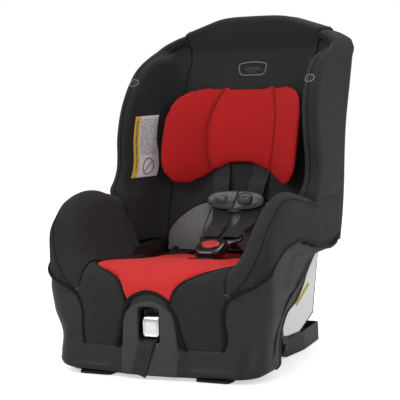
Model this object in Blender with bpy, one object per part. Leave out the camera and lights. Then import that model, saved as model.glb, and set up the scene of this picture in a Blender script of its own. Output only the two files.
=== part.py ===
"""Convertible child car seat, forward facing on its extended recline stand.

Row frame: +Z up, -Y is the way the child faces, +X to the right when looking at the seat's front.
Origin: on the floor, middle of the bounding box in Y.  Everything is designed in millimetres with
Y counted rearwards from the front of the base; to_row() turns a point into metres in the row frame.
"""
import math

import bmesh
import bpy
import numpy as np
from mathutils import Matrix, Vector

for old in list(bpy.data.objects):
    bpy.data.objects.remove(old, do_unlink=True)

# ------------------------------------------------------------------ driving dimensions (mm)
Y_FRONT = 0.1            # foremost point of the adjuster strap, over the base skirt
Y_REAR = 538.0           # rearmost point of the cover behind the crown
Y_MID = (Y_FRONT + Y_REAR) / 2
WALL = 4.5               # moulded wall of the shell
CLEAR = 1.0              # gap kept between the shell and the soft parts inside it
COVER_OUT = 3.8          # outer skin of the wing and arm covers, out from the shell
COVER_GAP = 1.4          # inner side of that skin, out from the shell
BACK_BULGE = 9.0         # how far the back's centre line stands behind its corners
ARM_Z = 305              # top of the shell's arm rests; the wings start above

WEB_W = 38.0             # shoulder and crotch webbing width
HIP_WEB_W = 34
ADJUSTER_WEB_W = 30
WEB_T = 1.6              # harness webbing thickness
SHOULDER_X = 46          # shoulder slots, out from the centre line
SLOT_ROWS = (300.0, 350.0, 402.0)   # heights of the shoulder slots
HIP_X, HIP_Y = 122, 332             # hip slots
CROTCH_Y = 218                      # crotch slot

STAND_Y, STAND_Z = 245.0, 22.0      # recline stand pivot
STAND_PIN_R = 5.0
STAND_TOP = 37.5
STAND_HALF = 152.3       # outside of the stand's arms
STAND_ARM_IN = 122       # inside of the arms at the pivot

LEVER_Y, LEVER_Z = 46.0, 104.0      # harness adjuster pivot
LEVER_PIN_R = 2.5
LEVER_BORE_R = 2.6

BUCKLE = Vector((0.0, 250.0, 214.0))
BUCKLE_TILT = math.radians(25.0)    # how far the buckle leans back from lying flat
TONGUE_X = 15            # tongues, out from the buckle's centre line
CLIP_Z = 288.0           # height of the chest clip

WING_THICK = 31.0        # fabric wing, outside to seating face
NOSE = 16.0              # depth of the wing's rounded front edge

SIDES = ((1, "right"), (-1, "left"))

# ------------------------------------------------------------------ materials
# name: base colour, roughness, metallic
MATERIALS = {
    "shell": ((0.055, 0.056, 0.058), 0.55, 0.0),
    "fabric_black": ((0.018, 0.019, 0.020), 0.9, 0.0),
    "fabric_red": ((0.55, 0.02, 0.022), 0.85, 0.0),
    "mesh_grey": ((0.12, 0.11, 0.11), 0.9, 0.0),
    "webbing": ((0.022, 0.022, 0.023), 0.8, 0.0),
    "foam": ((0.80, 0.80, 0.78), 0.9, 0.0),
    "chrome": ((0.85, 0.85, 0.86), 0.15, 1.0),
    "steel": ((0.45, 0.45, 0.46), 0.35, 1.0),
    "black_plastic": ((0.02, 0.02, 0.022), 0.35, 0.0),
    "grey_plastic": ((0.09, 0.09, 0.095), 0.4, 0.0),
    "red_plastic": ((0.62, 0.03, 0.03), 0.3, 0.0),
    "rubber": ((0.015, 0.015, 0.015), 0.8, 0.0),
    "label": ((0.80, 0.80, 0.80), 0.5, 0.0),
}


def make_material(name, colour, roughness, metallic):
    material = bpy.data.materials.new(name)
    material.use_nodes = True
    inputs = material.node_tree.nodes["Principled BSDF"].inputs
    inputs["Base Color"].default_value = (*colour, 1.0)
    inputs["Roughness"].default_value = roughness
    inputs["Metallic"].default_value = metallic
    material.diffuse_color = (*colour, 1.0)
    return material


materials = {name: make_material(name, *look) for name, look in MATERIALS.items()}


# ------------------------------------------------------------------ curves and paths
def lerp(table, x):
    """Second column of a table at a value of its first, held level beyond the ends."""
    return float(np.interp(x, [row[0] for row in table], [row[1] for row in table]))


def y_at(path, x):
    """Y of an (x, y) path whose x rises."""
    return lerp(path, x)


def x_at(path, y):
    """X of an (x, y) path whose y falls."""
    return lerp([(py, px) for px, py in reversed(path)], y)


def offset_path(path, d):
    """Offsets an open 2-D path to its left by d."""
    out = []
    for i, point in enumerate(path):
        before = Vector(path[max(i - 1, 0)])
        after = Vector(path[min(i + 1, len(path) - 1)])
        along = (after - before).normalized()
        left = Vector((-along.y, along.x))
        out.append((point[0] + left.x * d, point[1] + left.y * d))
    return out


def both(half):
    """A right half that starts on the centre line, with its mirror image before it."""
    return [(-x, y) for x, y in reversed(half)] + half[1:]


def span(centre, half):
    return centre - half, centre + half


def level(path, z, sx=1):
    """An (x, y) path at a height, mirrored when sx is -1."""
    return [(sx * x, y, z) for x, y in path]


def station(path, y, sx=1):
    """An (x, z) path at a distance from the front, mirrored when sx is -1."""
    return [(sx * x, y, z) for x, z in path]


def profile(path, x):
    """A (y, z) path at a distance from the centre line."""
    return [(x, y, z) for y, z in path]


# ------------------------------------------------------------------ solids
def loft(sections):
    """Closed loops of equal length, joined in order, with flat end caps."""
    bm = bmesh.new()
    rings = [[bm.verts.new(p) for p in section] for section in sections]
    n = len(rings[0])
    for a, b in zip(rings, rings[1:]):
        for i in range(n):
            bm.faces.new((a[i], a[(i + 1) % n], b[(i + 1) % n], b[i]))
    bm.faces.new(list(reversed(rings[0])))
    bm.faces.new(rings[-1])
    return bm


def prism_x(outline, x0, x1):
    return loft([profile(outline, x0), profile(outline, x1)])


def prism_y(outline, y0, y1):
    return loft([station(outline, y0), station(outline, y1)])


def prism_z(outline, z0, z1, sx=1):
    return loft([level(outline, z0, sx), level(outline, z1, sx)])


def box(*ranges):
    """A box from its (low, high) ranges in x, y and z."""
    bm = bmesh.new()
    bmesh.ops.create_cube(bm, size=1.0)
    for v in bm.verts:
        v.co = Vector([lo + (c + 0.5) * (hi - lo) for c, (lo, hi) in zip(v.co, ranges)])
    return bm


def round_edges(bm, axis, radius, segments):
    """Rounds the edges of a box that run along one axis."""
    edges = [e for e in bm.edges
             if abs((e.verts[0].co - e.verts[1].co).normalized()[axis]) > 0.9]
    bmesh.ops.bevel(bm, geom=edges, offset=radius, segments=segments, affect="EDGES", profile=0.5)


def rod(centre, radius, length, segments=24):
    """A cylinder along x."""
    bm = bmesh.new()
    bmesh.ops.create_cone(bm, cap_ends=True, segments=segments, radius1=radius,
                          radius2=radius, depth=length)
    turn = Vector((0, 0, 1)).rotation_difference(Vector((1, 0, 0)))
    bmesh.ops.transform(bm, matrix=Matrix.Translation(centre) @ turn.to_matrix().to_4x4(),
                        verts=bm.verts)
    return bm


def oval(rx, ry, cy, power, n=20):
    """Superellipse about (0, cy); a lower power makes it squarer."""
    out = []
    for k in range(n):
        angle = 2 * math.pi * (k + 0.5) / n
        c, s = math.cos(angle), math.sin(angle)
        out.append((rx * math.copysign(abs(c) ** power, c),
                    cy + ry * math.copysign(abs(s) ** power, s)))
    return out


def local_frame(origin, forward, normal):
    """Turns (across, along, out) of a tilted part into a design point."""
    def at(u, v, n):
        return origin + Vector((1, 0, 0)) * u + forward * v + normal * n
    return at


def placed(bm, at):
    for v in bm.verts:
        v.co = at(*v.co)
    return bm


# ------------------------------------------------------------------ objects
def to_row(p):
    return Vector((p[0] * 0.001, (p[1] - Y_MID) * 0.001, p[2] * 0.001))


def make(bm, name, material, origin=None, helper=False):
    """A bmesh in design millimetres becomes an object whose origin is the given design point."""
    bmesh.ops.remove_doubles(bm, verts=bm.verts, dist=1e-5)
    bmesh.ops.recalc_face_normals(bm, faces=bm.faces)
    if bm.calc_volume(signed=True) < 0:
        bmesh.ops.reverse_faces(bm, faces=bm.faces)
    at = to_row(origin) if origin is not None else Vector((0, 0, 0))
    for v in bm.verts:
        v.co = to_row(v.co) - at
    mesh = bpy.data.meshes.new(name)
    bm.to_mesh(mesh)
    bm.free()
    ob = bpy.data.objects.new(name, mesh)
    ob.location = at
    bpy.context.scene.collection.objects.link(ob)
    mesh.materials.append(materials[material])
    mesh.shade_smooth()
    mesh.set_sharp_from_angle(angle=math.radians(35))
    if helper:
        ob.hide_render = True
        ob.display_type = "WIRE"
    return ob


def boolean(ob, bm, helper_name, operation):
    """Makes a hidden helper from the bmesh and joins it to, or takes it from, the object."""
    modifier = ob.modifiers.new(operation.lower() + "_" + helper_name, "BOOLEAN")
    modifier.operation = operation
    modifier.object = make(bm, helper_name, "shell", helper=True)
    modifier.solver = "EXACT"


def cut(ob, bm, tag):
    boolean(ob, bm, "cut_" + ob.name + "_" + tag, "DIFFERENCE")


def fuse(ob, bm, tag):
    boolean(ob, bm, "add_" + ob.name + "_" + tag, "UNION")


def ribbon(name, points, width, across=(1, 0, 0), thick=WEB_T):
    """Flat webbing along a line; across is one direction, or one for each point."""
    points = [Vector(p) for p in points]
    if not isinstance(across[0], tuple):
        across = [across] * len(points)
    sections = []
    for i, p in enumerate(points):
        along = (points[min(i + 1, len(points) - 1)] - points[max(i - 1, 0)]).normalized()
        side = Vector(across[i])
        side = (side - along * side.dot(along)).normalized()
        normal = along.cross(side).normalized()
        a, b = side * width / 2, normal * thick / 2
        sections.append([p - a - b, p + a - b, p + a + b, p - a + b])
    make(loft(sections), name, "webbing")


# ------------------------------------------------------------------ master curves of the seat
# z, y of the outside of the shell at the back corners
REAR = [(200, 430), (221, 437), (270, 451), (325, 461), (384, 468), (443, 479), (521, 504),
        (577, 521), (600, 525), (625, 526), (655, 522)]
# z, y of the front edge of the fabric wing
WING_FRONT = [(200, 249), (312, 249), (335, 262), (358, 273), (390, 276), (411, 275), (450, 279),
              (486, 289), (520, 308), (552, 336), (575, 376), (594, 417), (608, 455), (700, 480)]
# z, half width over the fabric at the wings
WING_OUT = [(205, 229), (300, 229), (330, 225), (411, 221), (486, 214), (552, 207), (594, 203),
            (660, 200)]
WING_COVER = 4.5         # fabric outside to shell at the wing's front edge
# z, y of the front edge of the shell's arm rest
ARM_FRONT = [(205, 64), (240, 66), (280, 84), (294, 104), (305, 262)]
# z, width of the shell as a share of its full width, rounding off the crown
CROWN_SCALE = [(575, 1.0), (600, 0.965), (612, 0.87), (622, 0.76), (634, 0.60),
               (643, 0.47), (650, 0.32), (655, 0.12)]
# x, distance behind the back corner, across the back in plan
BACK_PLAN = [(0, BACK_BULGE), (45, 8.5), (90, 7), (140, 4), (176, -1), (196, -10)]
CORNER_X, CORNER_IN = 204, 30       # start of the side wall: x, and distance ahead of REAR
CORNER = len(BACK_PLAN)             # its place in the shell path

SHELL_LEVELS = (205, 240, 280, 294, 305, 330, 352, 375, 400, 430, 460, 490, 520, 545, 565, 585,
                600, 612, 622, 634, 643, 650)


def rear_y(z):
    return lerp(REAR, z)


def pad_y(z):
    """Front of the back pad on the centre line."""
    return 470.0 + 0.30 * (z - 560.0)


def wing_front(z):
    return lerp(WING_FRONT, z)


def wing_out(z):
    return lerp(WING_OUT, z)


def shell_front(z):
    """Front edge of the shell's side wall: the arm rest low down, the wing above."""
    y_front = lerp(ARM_FRONT, z) if z <= ARM_Z else wing_front(z) + 14.0
    return min(y_front, rear_y(z) - 48)


def shell_half(z, d=0.0):
    """Right half of the shell's outer path in plan, back centre to front edge, moved out by d."""
    y_front = shell_front(z)
    x_front = 228.0 if z <= ARM_Z else wing_out(z) - WING_COVER
    y_rear = rear_y(z)
    scale = (lerp(CROWN_SCALE, z) * 200.0 + d) / (200.0 + d)
    top = max(0.0, (z - 600.0) / 55.0)
    half = [(x, y_rear + behind - 2 * top) for x, behind in BACK_PLAN]
    x1, y1 = CORNER_X, y_rear - CORNER_IN
    half.append((x1, y1))
    y_widest = 60.0 if z <= ARM_Z else y_front
    for f in (0.25, 0.5, 0.75, 1.0):
        y = y1 + (y_front - y1) * f
        g = min(1.0, (y1 - y) / (y1 - y_widest))
        half.append((x1 + (x_front - x1) * (1 - (1 - g) ** 1.6), y))
    if d:
        half = offset_path([(-half[1][0], half[1][1])] + half, d)[1:]
        half[0] = (0.0, half[0][1])
    return [(x * scale, y) for x, y in half]


def shell_at(z, d=0.0):
    """The same path between two levels of the shell, exactly as its flat facets run."""
    for low, high in zip(SHELL_LEVELS, SHELL_LEVELS[1:]):
        if low <= z <= high:
            f = (z - low) / (high - low)
            return [(p[0] + (q[0] - p[0]) * f, p[1] + (q[1] - p[1]) * f)
                    for p, q in zip(shell_half(low, d), shell_half(high, d))]
    return shell_half(z, d)


def inside_at(z):
    """Path just clear of the shell's inside, which the foam and the pads follow."""
    return shell_at(z, -WALL - CLEAR)


# ------------------------------------------------------------------ shell
# z, y of the rear edge of the base's side and of the side panel above it
SIDE_REAR = [(8, 112), (38, 113), (59, 114), (94, 112), (108, 114), (118, 124), (129, 152),
             (140, 165), (163, 188), (188, 214), (212, 250)]
SKIRT_Z = 56             # top of the skirt round the foot of the base
# z, y of the front and z, half width, for the skirt and for the panel above it
SKIRT_FRONT = [(6, 14.5), (14, 11.6), (56, 15.8)]
SKIRT_HALF = [(6, 192), (14, 202), (24, 210), (56, 211)]
PANEL_FRONT = [(60, 23), (105, 20.5), (158, 16)]
PANEL_HALF = [(60, 208), (80, 217), (110, 226), (158, 231)]
BASE_CORNER = [(56, 46), (62, 44), (110, 36)]            # z, radius of the front corners
# z, how far the middle of the front stands forward
BASE_BULGE = [(8, 5.0), (30, 8.0), (55, 9.0), (60, 14.0), (100, 9.5), (130, 7.0), (160, 5.0)]
# y, z of the top of the seat pan, with the half width at each of its stations
PAN = [(19, 150), (50, 163), (90, 166), (150, 158), (230, 144), (300, 138), (340, 142),
       (368, 160), (386, 190), (396, 216)]
PAN_HALF = (186.0, 219.0, 228.2, 228.2) + (156.0,) * 6
PAN_T = 5.0
# y, z round the side plates of the rear box
REAR_BOX = [(196, 66), (225, 52), (236, 42), (236, 12), (256, 12), (262, 42), (311, 41),
            (379, 70), (384, 92), (411, 188), (416, 212), (300, 214), (235, 206), (205, 190)]
# y, z along the outside of the rear box's wall
REAR_WALL = [(263, 45.6), (310, 43), (377.3, 72), (382.6, 92.5), (409.5, 188.4), (415, 213)]
# x, y round the underside of the bucket between the rear box and the outer wall
LEDGE = [(154, 236), (214, 236), (219, 262), (212, 330), (194, 385), (160, 405), (154, 405)]


def bucket():
    return loft([level(both(shell_half(z)) + list(reversed(both(shell_half(z, -WALL)))), z)
                 for z in SHELL_LEVELS])


def base_half(z):
    """Half of the base's outer path from the front centre round to the side's rear edge."""
    skirt = z <= SKIRT_Z
    front = lerp(SKIRT_FRONT if skirt else PANEL_FRONT, z)
    half = lerp(SKIRT_HALF if skirt else PANEL_HALF, z)
    r = lerp(BASE_CORNER, z)
    bulge = lerp(BASE_BULGE, z)
    path = [(0, front - bulge), (30, front - bulge + 0.5), (50, front - bulge * 0.7),
            (62, front + 0.5), (half - r - 45, front + 3)]
    for k in range(6):
        angle = math.radians(90 * k / 5)
        path.append((half - r + r * math.sin(angle), front + 6 + r - r * math.cos(angle)))
    corner_end = front + 6 + r
    rear = lerp(SIDE_REAR, z)
    for f in (0.5, 1.0):
        path.append((half - 3 * f * f, corner_end + (rear - corner_end) * f))
    return path


def base():
    sections = []
    for z in (6, 14, 24, 40, 54, 62, 80, 105, 118, 130, 158):
        outer = both(base_half(z))
        sections.append(level(outer + list(reversed(offset_path(outer, WALL))), z))
    return loft(sections)


def side_panel(sx):
    """Upper side panel between the base and the bucket, ahead of the belt path."""
    sections = []
    for z in (152, 175, 195, 212):
        rear = lerp(SIDE_REAR, z)
        x = lerp([(150, 231.8), (212, 229.0)], z)
        front = lerp([(150, 50), (212, 63)], z)
        outer = [(x - 2.2, front), (x, (front + rear) / 2), (x - 2.2, rear - 1.3)]
        inner = [(px - WALL, py) for px, py in reversed(outer)]
        sections.append(level(outer + inner, z, sx))
    return loft(sections)


def pan_z(y):
    return lerp(PAN, y)


def pan():
    """Seat pan: wide between the side panels, narrow over the rear box."""
    return loft([[(-half, y, z), (half, y, z), (half, *low), (-half, *low)]
                 for (y, z), low, half in zip(PAN, offset_path(PAN, -PAN_T), PAN_HALF)])


def rear_side(sx):
    return prism_x(REAR_BOX, 153.5 * sx, 158.5 * sx)


def rear_wall():
    return prism_x(REAR_WALL + list(reversed(offset_path(REAR_WALL, WALL))), -155.2, 155.2)


def ledge(sx):
    return prism_z(LEDGE, 203, 208, sx)


def roof():
    """Closes the crown between the side walls."""
    y0, y1 = rear_y(650) - 45.7, rear_y(650) + 3.3
    sections = []
    for z in (643.8, 649.1):
        x = shell_half(z)[-1][0] - 2.2
        sections.append(level([(-x, y0), (x, y0), (x, y1), (-x, y1)], z))
    return loft(sections)


def adjuster_pocket():
    """Block behind the front panel, hollowed out later to hold the harness adjuster."""
    return loft([level([(-26, front), (26, front), (26, 78), (-26, 78)], z)
                 for front, z in ((11, 60), (24, 138))])


def belt_opening(sx):
    """Long slanted hole for the car's belt through the side of the rear box."""
    bm = box((150, 163), span(0, 30), span(0, 13))
    round_edges(bm, axis=0, radius=12.5, segments=4)
    bmesh.ops.transform(bm, matrix=Matrix.Translation((0, 272, 150))
                        @ Matrix.Rotation(math.radians(58), 4, "X"), verts=bm.verts)
    if sx < 0:
        bmesh.ops.scale(bm, vec=(-1, 1, 1), verts=bm.verts)
        bmesh.ops.reverse_faces(bm, faces=bm.faces)
    return bm


def shell_cuts():
    cuts = []
    for sx in (-1, 1):
        cuts.append(belt_opening(sx))
        for z in SLOT_ROWS:
            cuts.append(box(span(sx * SHOULDER_X, 25), (rear_y(z) - 20, rear_y(z) + 40),
                            span(z, 4)))
        cuts.append(box(span(sx * HIP_X, 21), span(HIP_Y, 4), (130, 152)))
    cuts.append(box(span(0, 21), span(CROTCH_Y, 4), (130, 160)))
    cuts.append(box(span(0, 22), (4, 72), (66, 132)))          # adjuster recess
    cuts.append(box(span(0, 20.5), (60, 90), (96, 108)))       # strap hole behind it
    cuts.append(box(span(0, 21), (390, 432), (182, 192)))      # strap hole in the rear wall
    return cuts


def build_shell():
    shell = make(bucket(), "shell", "shell")
    additions = [base(), side_panel(1), side_panel(-1), pan(), rear_side(1), rear_side(-1),
                 rear_wall(), ledge(1), ledge(-1), adjuster_pocket(), roof()]
    for i, bm in enumerate(additions):
        boolean(shell, bm, "add_%02d" % i, "UNION")
    for i, bm in enumerate(shell_cuts()):
        boolean(shell, bm, "cut_%02d" % i, "DIFFERENCE")
    for sx in (-1, 1):
        hole = rod((sx * 156, STAND_Y, STAND_Z), STAND_PIN_R + 0.3, 20)
        boolean(shell, hole, "cut_pin_%d" % (sx + 1), "DIFFERENCE")


# ------------------------------------------------------------------ recline stand
# x, y round the U of the stand
STAND = [(STAND_HALF, 233), (STAND_HALF, 348), (133, 463), (-133, 463), (-STAND_HALF, 348),
         (-STAND_HALF, 233), (-STAND_ARM_IN, 233), (-121, 300), (-108, 425), (108, 425),
         (121, 300), (STAND_ARM_IN, 233)]
# x, y round the hollow of the right arm
STAND_POCKET = [(148, 268), (148, 346), (129.5, 456), (128, 459), (112, 459), (112.5, 429),
                (124.8, 302), (125.5, 268)]
# y, z of what is trimmed from the underside below the pivot
STAND_HEEL = [(225, -3), (262, -3), (262, 4), (251, 5.8), (238, 5.8), (225, 9)]
STAND_FLOOR = 4          # thickness left under the hollows


def build_stand():
    stand = make(prism_z(STAND, 0, STAND_TOP), "recline_stand", "shell",
                 origin=(0, STAND_Y, STAND_Z))
    for sx, side in SIDES:
        lug_x = (STAND_HALF + STAND_ARM_IN) / 2
        lug = rod((sx * lug_x, STAND_Y, STAND_Z), 17.0, STAND_HALF - STAND_ARM_IN)
        boolean(stand, lug, "add_lug_" + side, "UNION")
        # The left outline is walked backwards so that both turn the same way once mirrored.
        cut(stand, prism_z(STAND_POCKET[::sx], STAND_FLOOR, 60, sx), side)
        cut(stand, rod((sx * 137, STAND_Y, STAND_Z), STAND_PIN_R + 0.13, 60), "bore_" + side)
        cut(stand, prism_x(STAND_HEEL, sx * 110, sx * 170), "heel_" + side)
    cut(stand, box(span(0, 109), (429, 459), (STAND_FLOOR, 60)), "bar")


def build_stand_pin(sx, side):
    pin = make(rod((sx * 140.0, STAND_Y, STAND_Z), STAND_PIN_R, 41.0), "stand_pin_" + side, "steel")
    fuse(pin, rod((sx * 160.6, STAND_Y, STAND_Z), 8.5, 3.4, segments=20), "head")


def build_front_pad(sx, side):
    pad = box(span(sx * 122, 34), (14.5, 45), (0, 5.4))
    round_edges(pad, axis=2, radius=9, segments=3)
    make(pad, "front_pad_" + side, "rubber")


# ------------------------------------------------------------------ harness adjuster
# y, z round the lever from the side
LEVER = [(17.0, 78.5), (19.4, 77.8), (20.0, 98), (24, 107), (34, 108.5), (40.5, 103), (42, 98),
         (47, 96.8), (52, 99.5), (53.6, 104), (52, 109.5), (46.5, 112.5), (32, 115.5),
         (21, 113.5), (16.6, 104)]
# y, z of the strap from the adjuster under the pan and up the back to the splitter plate
STRAP_REAR = [(58, 94), (76, 101.5), (92, 102.5), (130, 112), (200, 122), (300, 122), (345, 127),
              (375, 142), (388, 162), (395.5, 180), (402, 187), (424, 187), (446, 196),
              (457, 220), (468, 270), (475.5, 300)]
# x, y, z of the loose end hanging down the front
STRAP_TAIL = [(0, 53, 92.6), (0, 40, 87), (0, 26, 73.5), (0, 14, 69.5), (-0.5, 5.6, 66.2),
              (-1, 3.2, 58), (-3, 1.6, 40), (-6, 1.0, 22), (-8, 0.9, 8)]


def build_adjuster():
    pivot = (0, LEVER_Y, LEVER_Z)
    frame = make(box(span(0, 20.4), (30, 66), (70, 122)), "adjuster_frame", "steel")
    cut(frame, box(span(0, 18.4), (20, 63.5), (60, 140)), "in")
    cut(frame, box(span(0, 17), (60, 70), (90, 112)), "strap")
    cut(frame, rod(pivot, LEVER_BORE_R, 60), "bore")
    make(rod(pivot, LEVER_PIN_R, 42.6), "adjuster_pin", "steel")
    lever = make(prism_x(LEVER, -16.8, 16.8), "adjuster_lever", "chrome", origin=pivot)
    cut(lever, rod(pivot, LEVER_BORE_R, 60), "bore")
    ribbon("adjuster_strap_rear", profile(STRAP_REAR, 0), ADJUSTER_WEB_W)
    ribbon("adjuster_strap_tail", STRAP_TAIL, ADJUSTER_WEB_W)


# ------------------------------------------------------------------ splitter plate and anchors
SPLITTER_Y = rear_y(315) + BACK_BULGE + 9       # front of the plate, behind the back
# x, z round the plate
SPLITTER = [(-17, 298), (17, 298), (22, 304), (46, 318), (52, 330), (-52, 330), (-46, 318),
            (-22, 304)]


def build_splitter():
    plate = make(prism_y(SPLITTER, SPLITTER_Y, SPLITTER_Y + 3), "splitter_plate", "steel")
    cut(plate, box(span(0, 16), span(SPLITTER_Y, 9), (301, 304)), "low")
    for sx, side in SIDES:
        cut(plate, box(span(sx * 27, 20), span(SPLITTER_Y, 9), (324, 327)), side)


def build_anchor(name, x, y, z):
    """Slotted plate under the pan; z is the range of its thickness."""
    anchor = make(box(span(x, 27), span(y, 12), z), name, "steel")
    cut(anchor, box(span(x, 20), span(y, 2), (110, 150)), "slot")


def build_anchors():
    build_anchor("crotch_anchor", 0, CROTCH_Y, (133.5, 136))
    for sx, side in SIDES:
        build_anchor("hip_anchor_" + side, sx * HIP_X, HIP_Y, (126.8, 129.3))


# ------------------------------------------------------------------ buckle
# Along the buckle is the way the tongues go out; out of it is the way the button faces.
buckle_at = local_frame(BUCKLE,
                        forward=Vector((0, math.cos(BUCKLE_TILT), math.sin(BUCKLE_TILT))),
                        normal=Vector((0, -math.sin(BUCKLE_TILT), math.cos(BUCKLE_TILT))))
# height out of the middle plane, scale across, scale along
BUCKLE_LEVELS = [(-11, 0.84, 0.86), (-8, 0.97, 0.97), (0, 1, 1), (8, 0.97, 0.97),
                 (11, 0.82, 0.84)]
# across, along, round the right tongue
TONGUE = [(6, 1.0), (24, 1.0), (24, 27), (42, 32), (44, 50), (40, 54), (4, 54), (1.2, 50),
          (1.2, 30), (6, 27)]
# y, z up from the crotch anchor to the buckle
CROTCH_STRAP = [(218, 132), (218, 150), (218.5, 172), (219.5, 188), (221.4, 194.8)]


def build_buckle():
    outline = oval(31, 29, cy=-4, power=0.55)
    body = loft([[(x * across, y * along, n) for x, y in outline]
                 for n, across, along in BUCKLE_LEVELS])
    buckle = make(placed(body, buckle_at), "buckle_body", "black_plastic")
    recess = prism_z(oval(19.5, 12.0, cy=-2, power=0.8), 2.2, 20)
    cut(buckle, placed(recess, buckle_at), "button")
    for sx, side in SIDES:
        slot = box(span(sx * TONGUE_X, 10.5), (0, 40), (-6.0, -1.4))
        cut(buckle, placed(slot, buckle_at), side)
    button = prism_z(oval(18.8, 11.3, cy=-2, power=0.8), 6.7, 13.0)
    make(placed(button, buckle_at), "buckle_button", "red_plastic", origin=buckle_at(0, -2, 6.7))
    for sx, side in SIDES:
        tongue = make(placed(prism_z(TONGUE, -5.2, -2.2, sx), buckle_at),
                      "buckle_tongue_" + side, "steel", origin=buckle_at(sx * TONGUE_X, 1, -3.7))
        slot = box(span(sx * 22.5, 19.6), (38, 44), span(0, 20))
        cut(tongue, placed(slot, buckle_at), "slot")
    ribbon("crotch_strap", profile(CROTCH_STRAP, 0), WEB_W, thick=2.0)


# ------------------------------------------------------------------ shoulder and hip straps
def strap_y(z):
    """Middle of the shoulder strap in front of the back pad."""
    return pad_y(z) - lerp([(320, 12.5), (337, 4.6)], z)


# x, y, z of the right shoulder strap: up behind the back, through the top slot, down to the tongue
SHOULDER_STRAP = [
    (27, SPLITTER_Y - 2.2, 322), (29, rear_y(330) + BACK_BULGE + 5.5, 340),
    (38, rear_y(370) + 13.5, 370), (45, rear_y(392) + 12.5, 392),
    (SHOULDER_X, rear_y(401) + 11.2, 400.5), (SHOULDER_X, rear_y(402) + 3, 402),
    (SHOULDER_X, pad_y(402) + 8, 402), (SHOULDER_X, pad_y(402) - 0.5, 400.5),
    (SHOULDER_X, strap_y(394), 394), (SHOULDER_X, strap_y(370), 370), (45, strap_y(338), 338),
    (42, strap_y(320), 320), (38, strap_y(300), 300), (34, strap_y(276), 276),
    (31, strap_y(256) + 0.5, 256), (29, 354, 251)]
# across, along: its last points, in the buckle's frame
SHOULDER_END = [(24.5, 66), (23, 52), (22.5, 34)]
# x, y, z of the right hip strap after its start at the buckle
HIP_STRAP = [(46, 304, 207.5), (80, 322, 206), (108, 331, 193), (119, HIP_Y, 180),
             (HIP_X, HIP_Y, 150), (HIP_X, HIP_Y, 126)]
# across direction at the start and at each of those points
HIP_ACROSS = [(1, 0, 0), (0.9, -0.35, 0), (0.75, -0.6, 0.25), (0.9, -0.4, 0.3), (1, -0.1, 0.1),
              (1, 0, 0), (1, 0, 0)]


def build_straps(sx, side):
    points = [(sx * x, y, z) for x, y, z in SHOULDER_STRAP]
    points += [tuple(buckle_at(sx * u, v, 2.6)) for u, v in SHOULDER_END]
    ribbon("shoulder_strap_" + side, points, WEB_W)
    points = [tuple(buckle_at(sx * 24, 36, -18.0))] + [(sx * x, y, z) for x, y, z in HIP_STRAP]
    across = [(x, sx * y, sx * z) for x, y, z in HIP_ACROSS]
    ribbon("hip_strap_" + side, points, HIP_WEB_W, across)


# ------------------------------------------------------------------ chest clip
CLIP_UP = Vector((0, 0.3, 1.0)).normalized()
clip_at = local_frame(Vector((0, strap_y(CLIP_Z), CLIP_Z)), forward=CLIP_UP,
                      normal=Vector((0, -CLIP_UP.z, CLIP_UP.y)))
# across, up, round the right half
CLIP_HALF = [(0.5, -19), (52, -19), (60, -14), (63.5, -5), (63.5, 6), (60, 15), (52, 19.5),
             (0.5, 19.5)]


def build_chest_clip():
    halves = {}
    for sx, side in SIDES:
        half = make(placed(prism_z(CLIP_HALF, 2.0, 9.0, sx), clip_at), "chest_clip_" + side,
                    "grey_plastic", origin=clip_at(0, 0, 0))
        lug = box(span(sx * 61.8, 1.4), span(0, 9), (-3.9, 4))
        fuse(half, placed(lug, clip_at), "lug")
        # bar behind the strap, held by the lug
        bar = box(span(sx * 38, 24), span(0, 8.5), (-4.6, -2.5))
        fuse(half, placed(bar, clip_at), "bar")
        halves[side] = half
    cut(halves["left"], placed(box((-28, 5), span(0, 7), (3.6, 7.2)), clip_at), "socket")
    fuse(halves["right"], placed(box((-25, 6), span(0, 6.5), (4.1, 6.7)), clip_at), "tongue")


# ------------------------------------------------------------------ back pad and its foam
PAD_LEVELS = (197, 216, 240, 280, 305, 330, 352, 375, 400, 430, 460, 490, 520, 545, 565, 585,
              598)
PAD_T = 13               # back pad, front to back
FOAM_FROM_PAD = 14.2     # front of the foam, behind the pad's front


def pad_scale(z):
    """Narrows the seating face with the wings."""
    return min(1.0, (wing_out(z) - WING_THICK) / 190.0)


def back_front(z):
    """Right half of the back pad's front in plan, from the centre line out."""
    y_wing = wing_front(z) if z > 306 else 236.0
    s = pad_scale(z)
    y = pad_y(z)
    depth = y - (y_wing + NOSE)
    return [(0, y), (55 * s, y + 0.4), (105 * s, y - 1.2), (133 * s, y - 0.055 * depth),
            (149.3 * s, y - 0.097 * depth)]


def build_back():
    sections = []
    for z in PAD_LEVELS:
        front = both(back_front(z))
        sections.append(level(front + [(x, y + PAD_T) for x, y in reversed(front)], z))
    back_pad = make(loft(sections), "back_pad", "fabric_black")

    sections = []
    for z in (219,) + PAD_LEVELS[2:]:
        front = both([(x, y + FOAM_FROM_PAD) for x, y in back_front(z)])
        inside = inside_at(z)[:5]
        rear = [(x, y_at(inside, abs(x))) for x, _ in reversed(front)]
        sections.append(level(front + rear, z))
    foam = make(loft(sections), "eps_foam_back", "foam")

    for z in SLOT_ROWS:
        for sx, side in SIDES:
            tag = "slot_%d_%s" % (z, side)
            y = pad_y(z)
            cut(back_pad, box(span(sx * SHOULDER_X, 22), (y - 20, y + 30), span(z, 4)), tag)
            cut(foam, box(span(sx * SHOULDER_X, 24), (y - 20, y + 90), span(z, 5)), tag)


# ------------------------------------------------------------------ wings and side pads
WING_LEVELS = (309, 330, 352, 375, 400, 430, 460, 490, 520, 545, 565, 585, 600)


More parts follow.
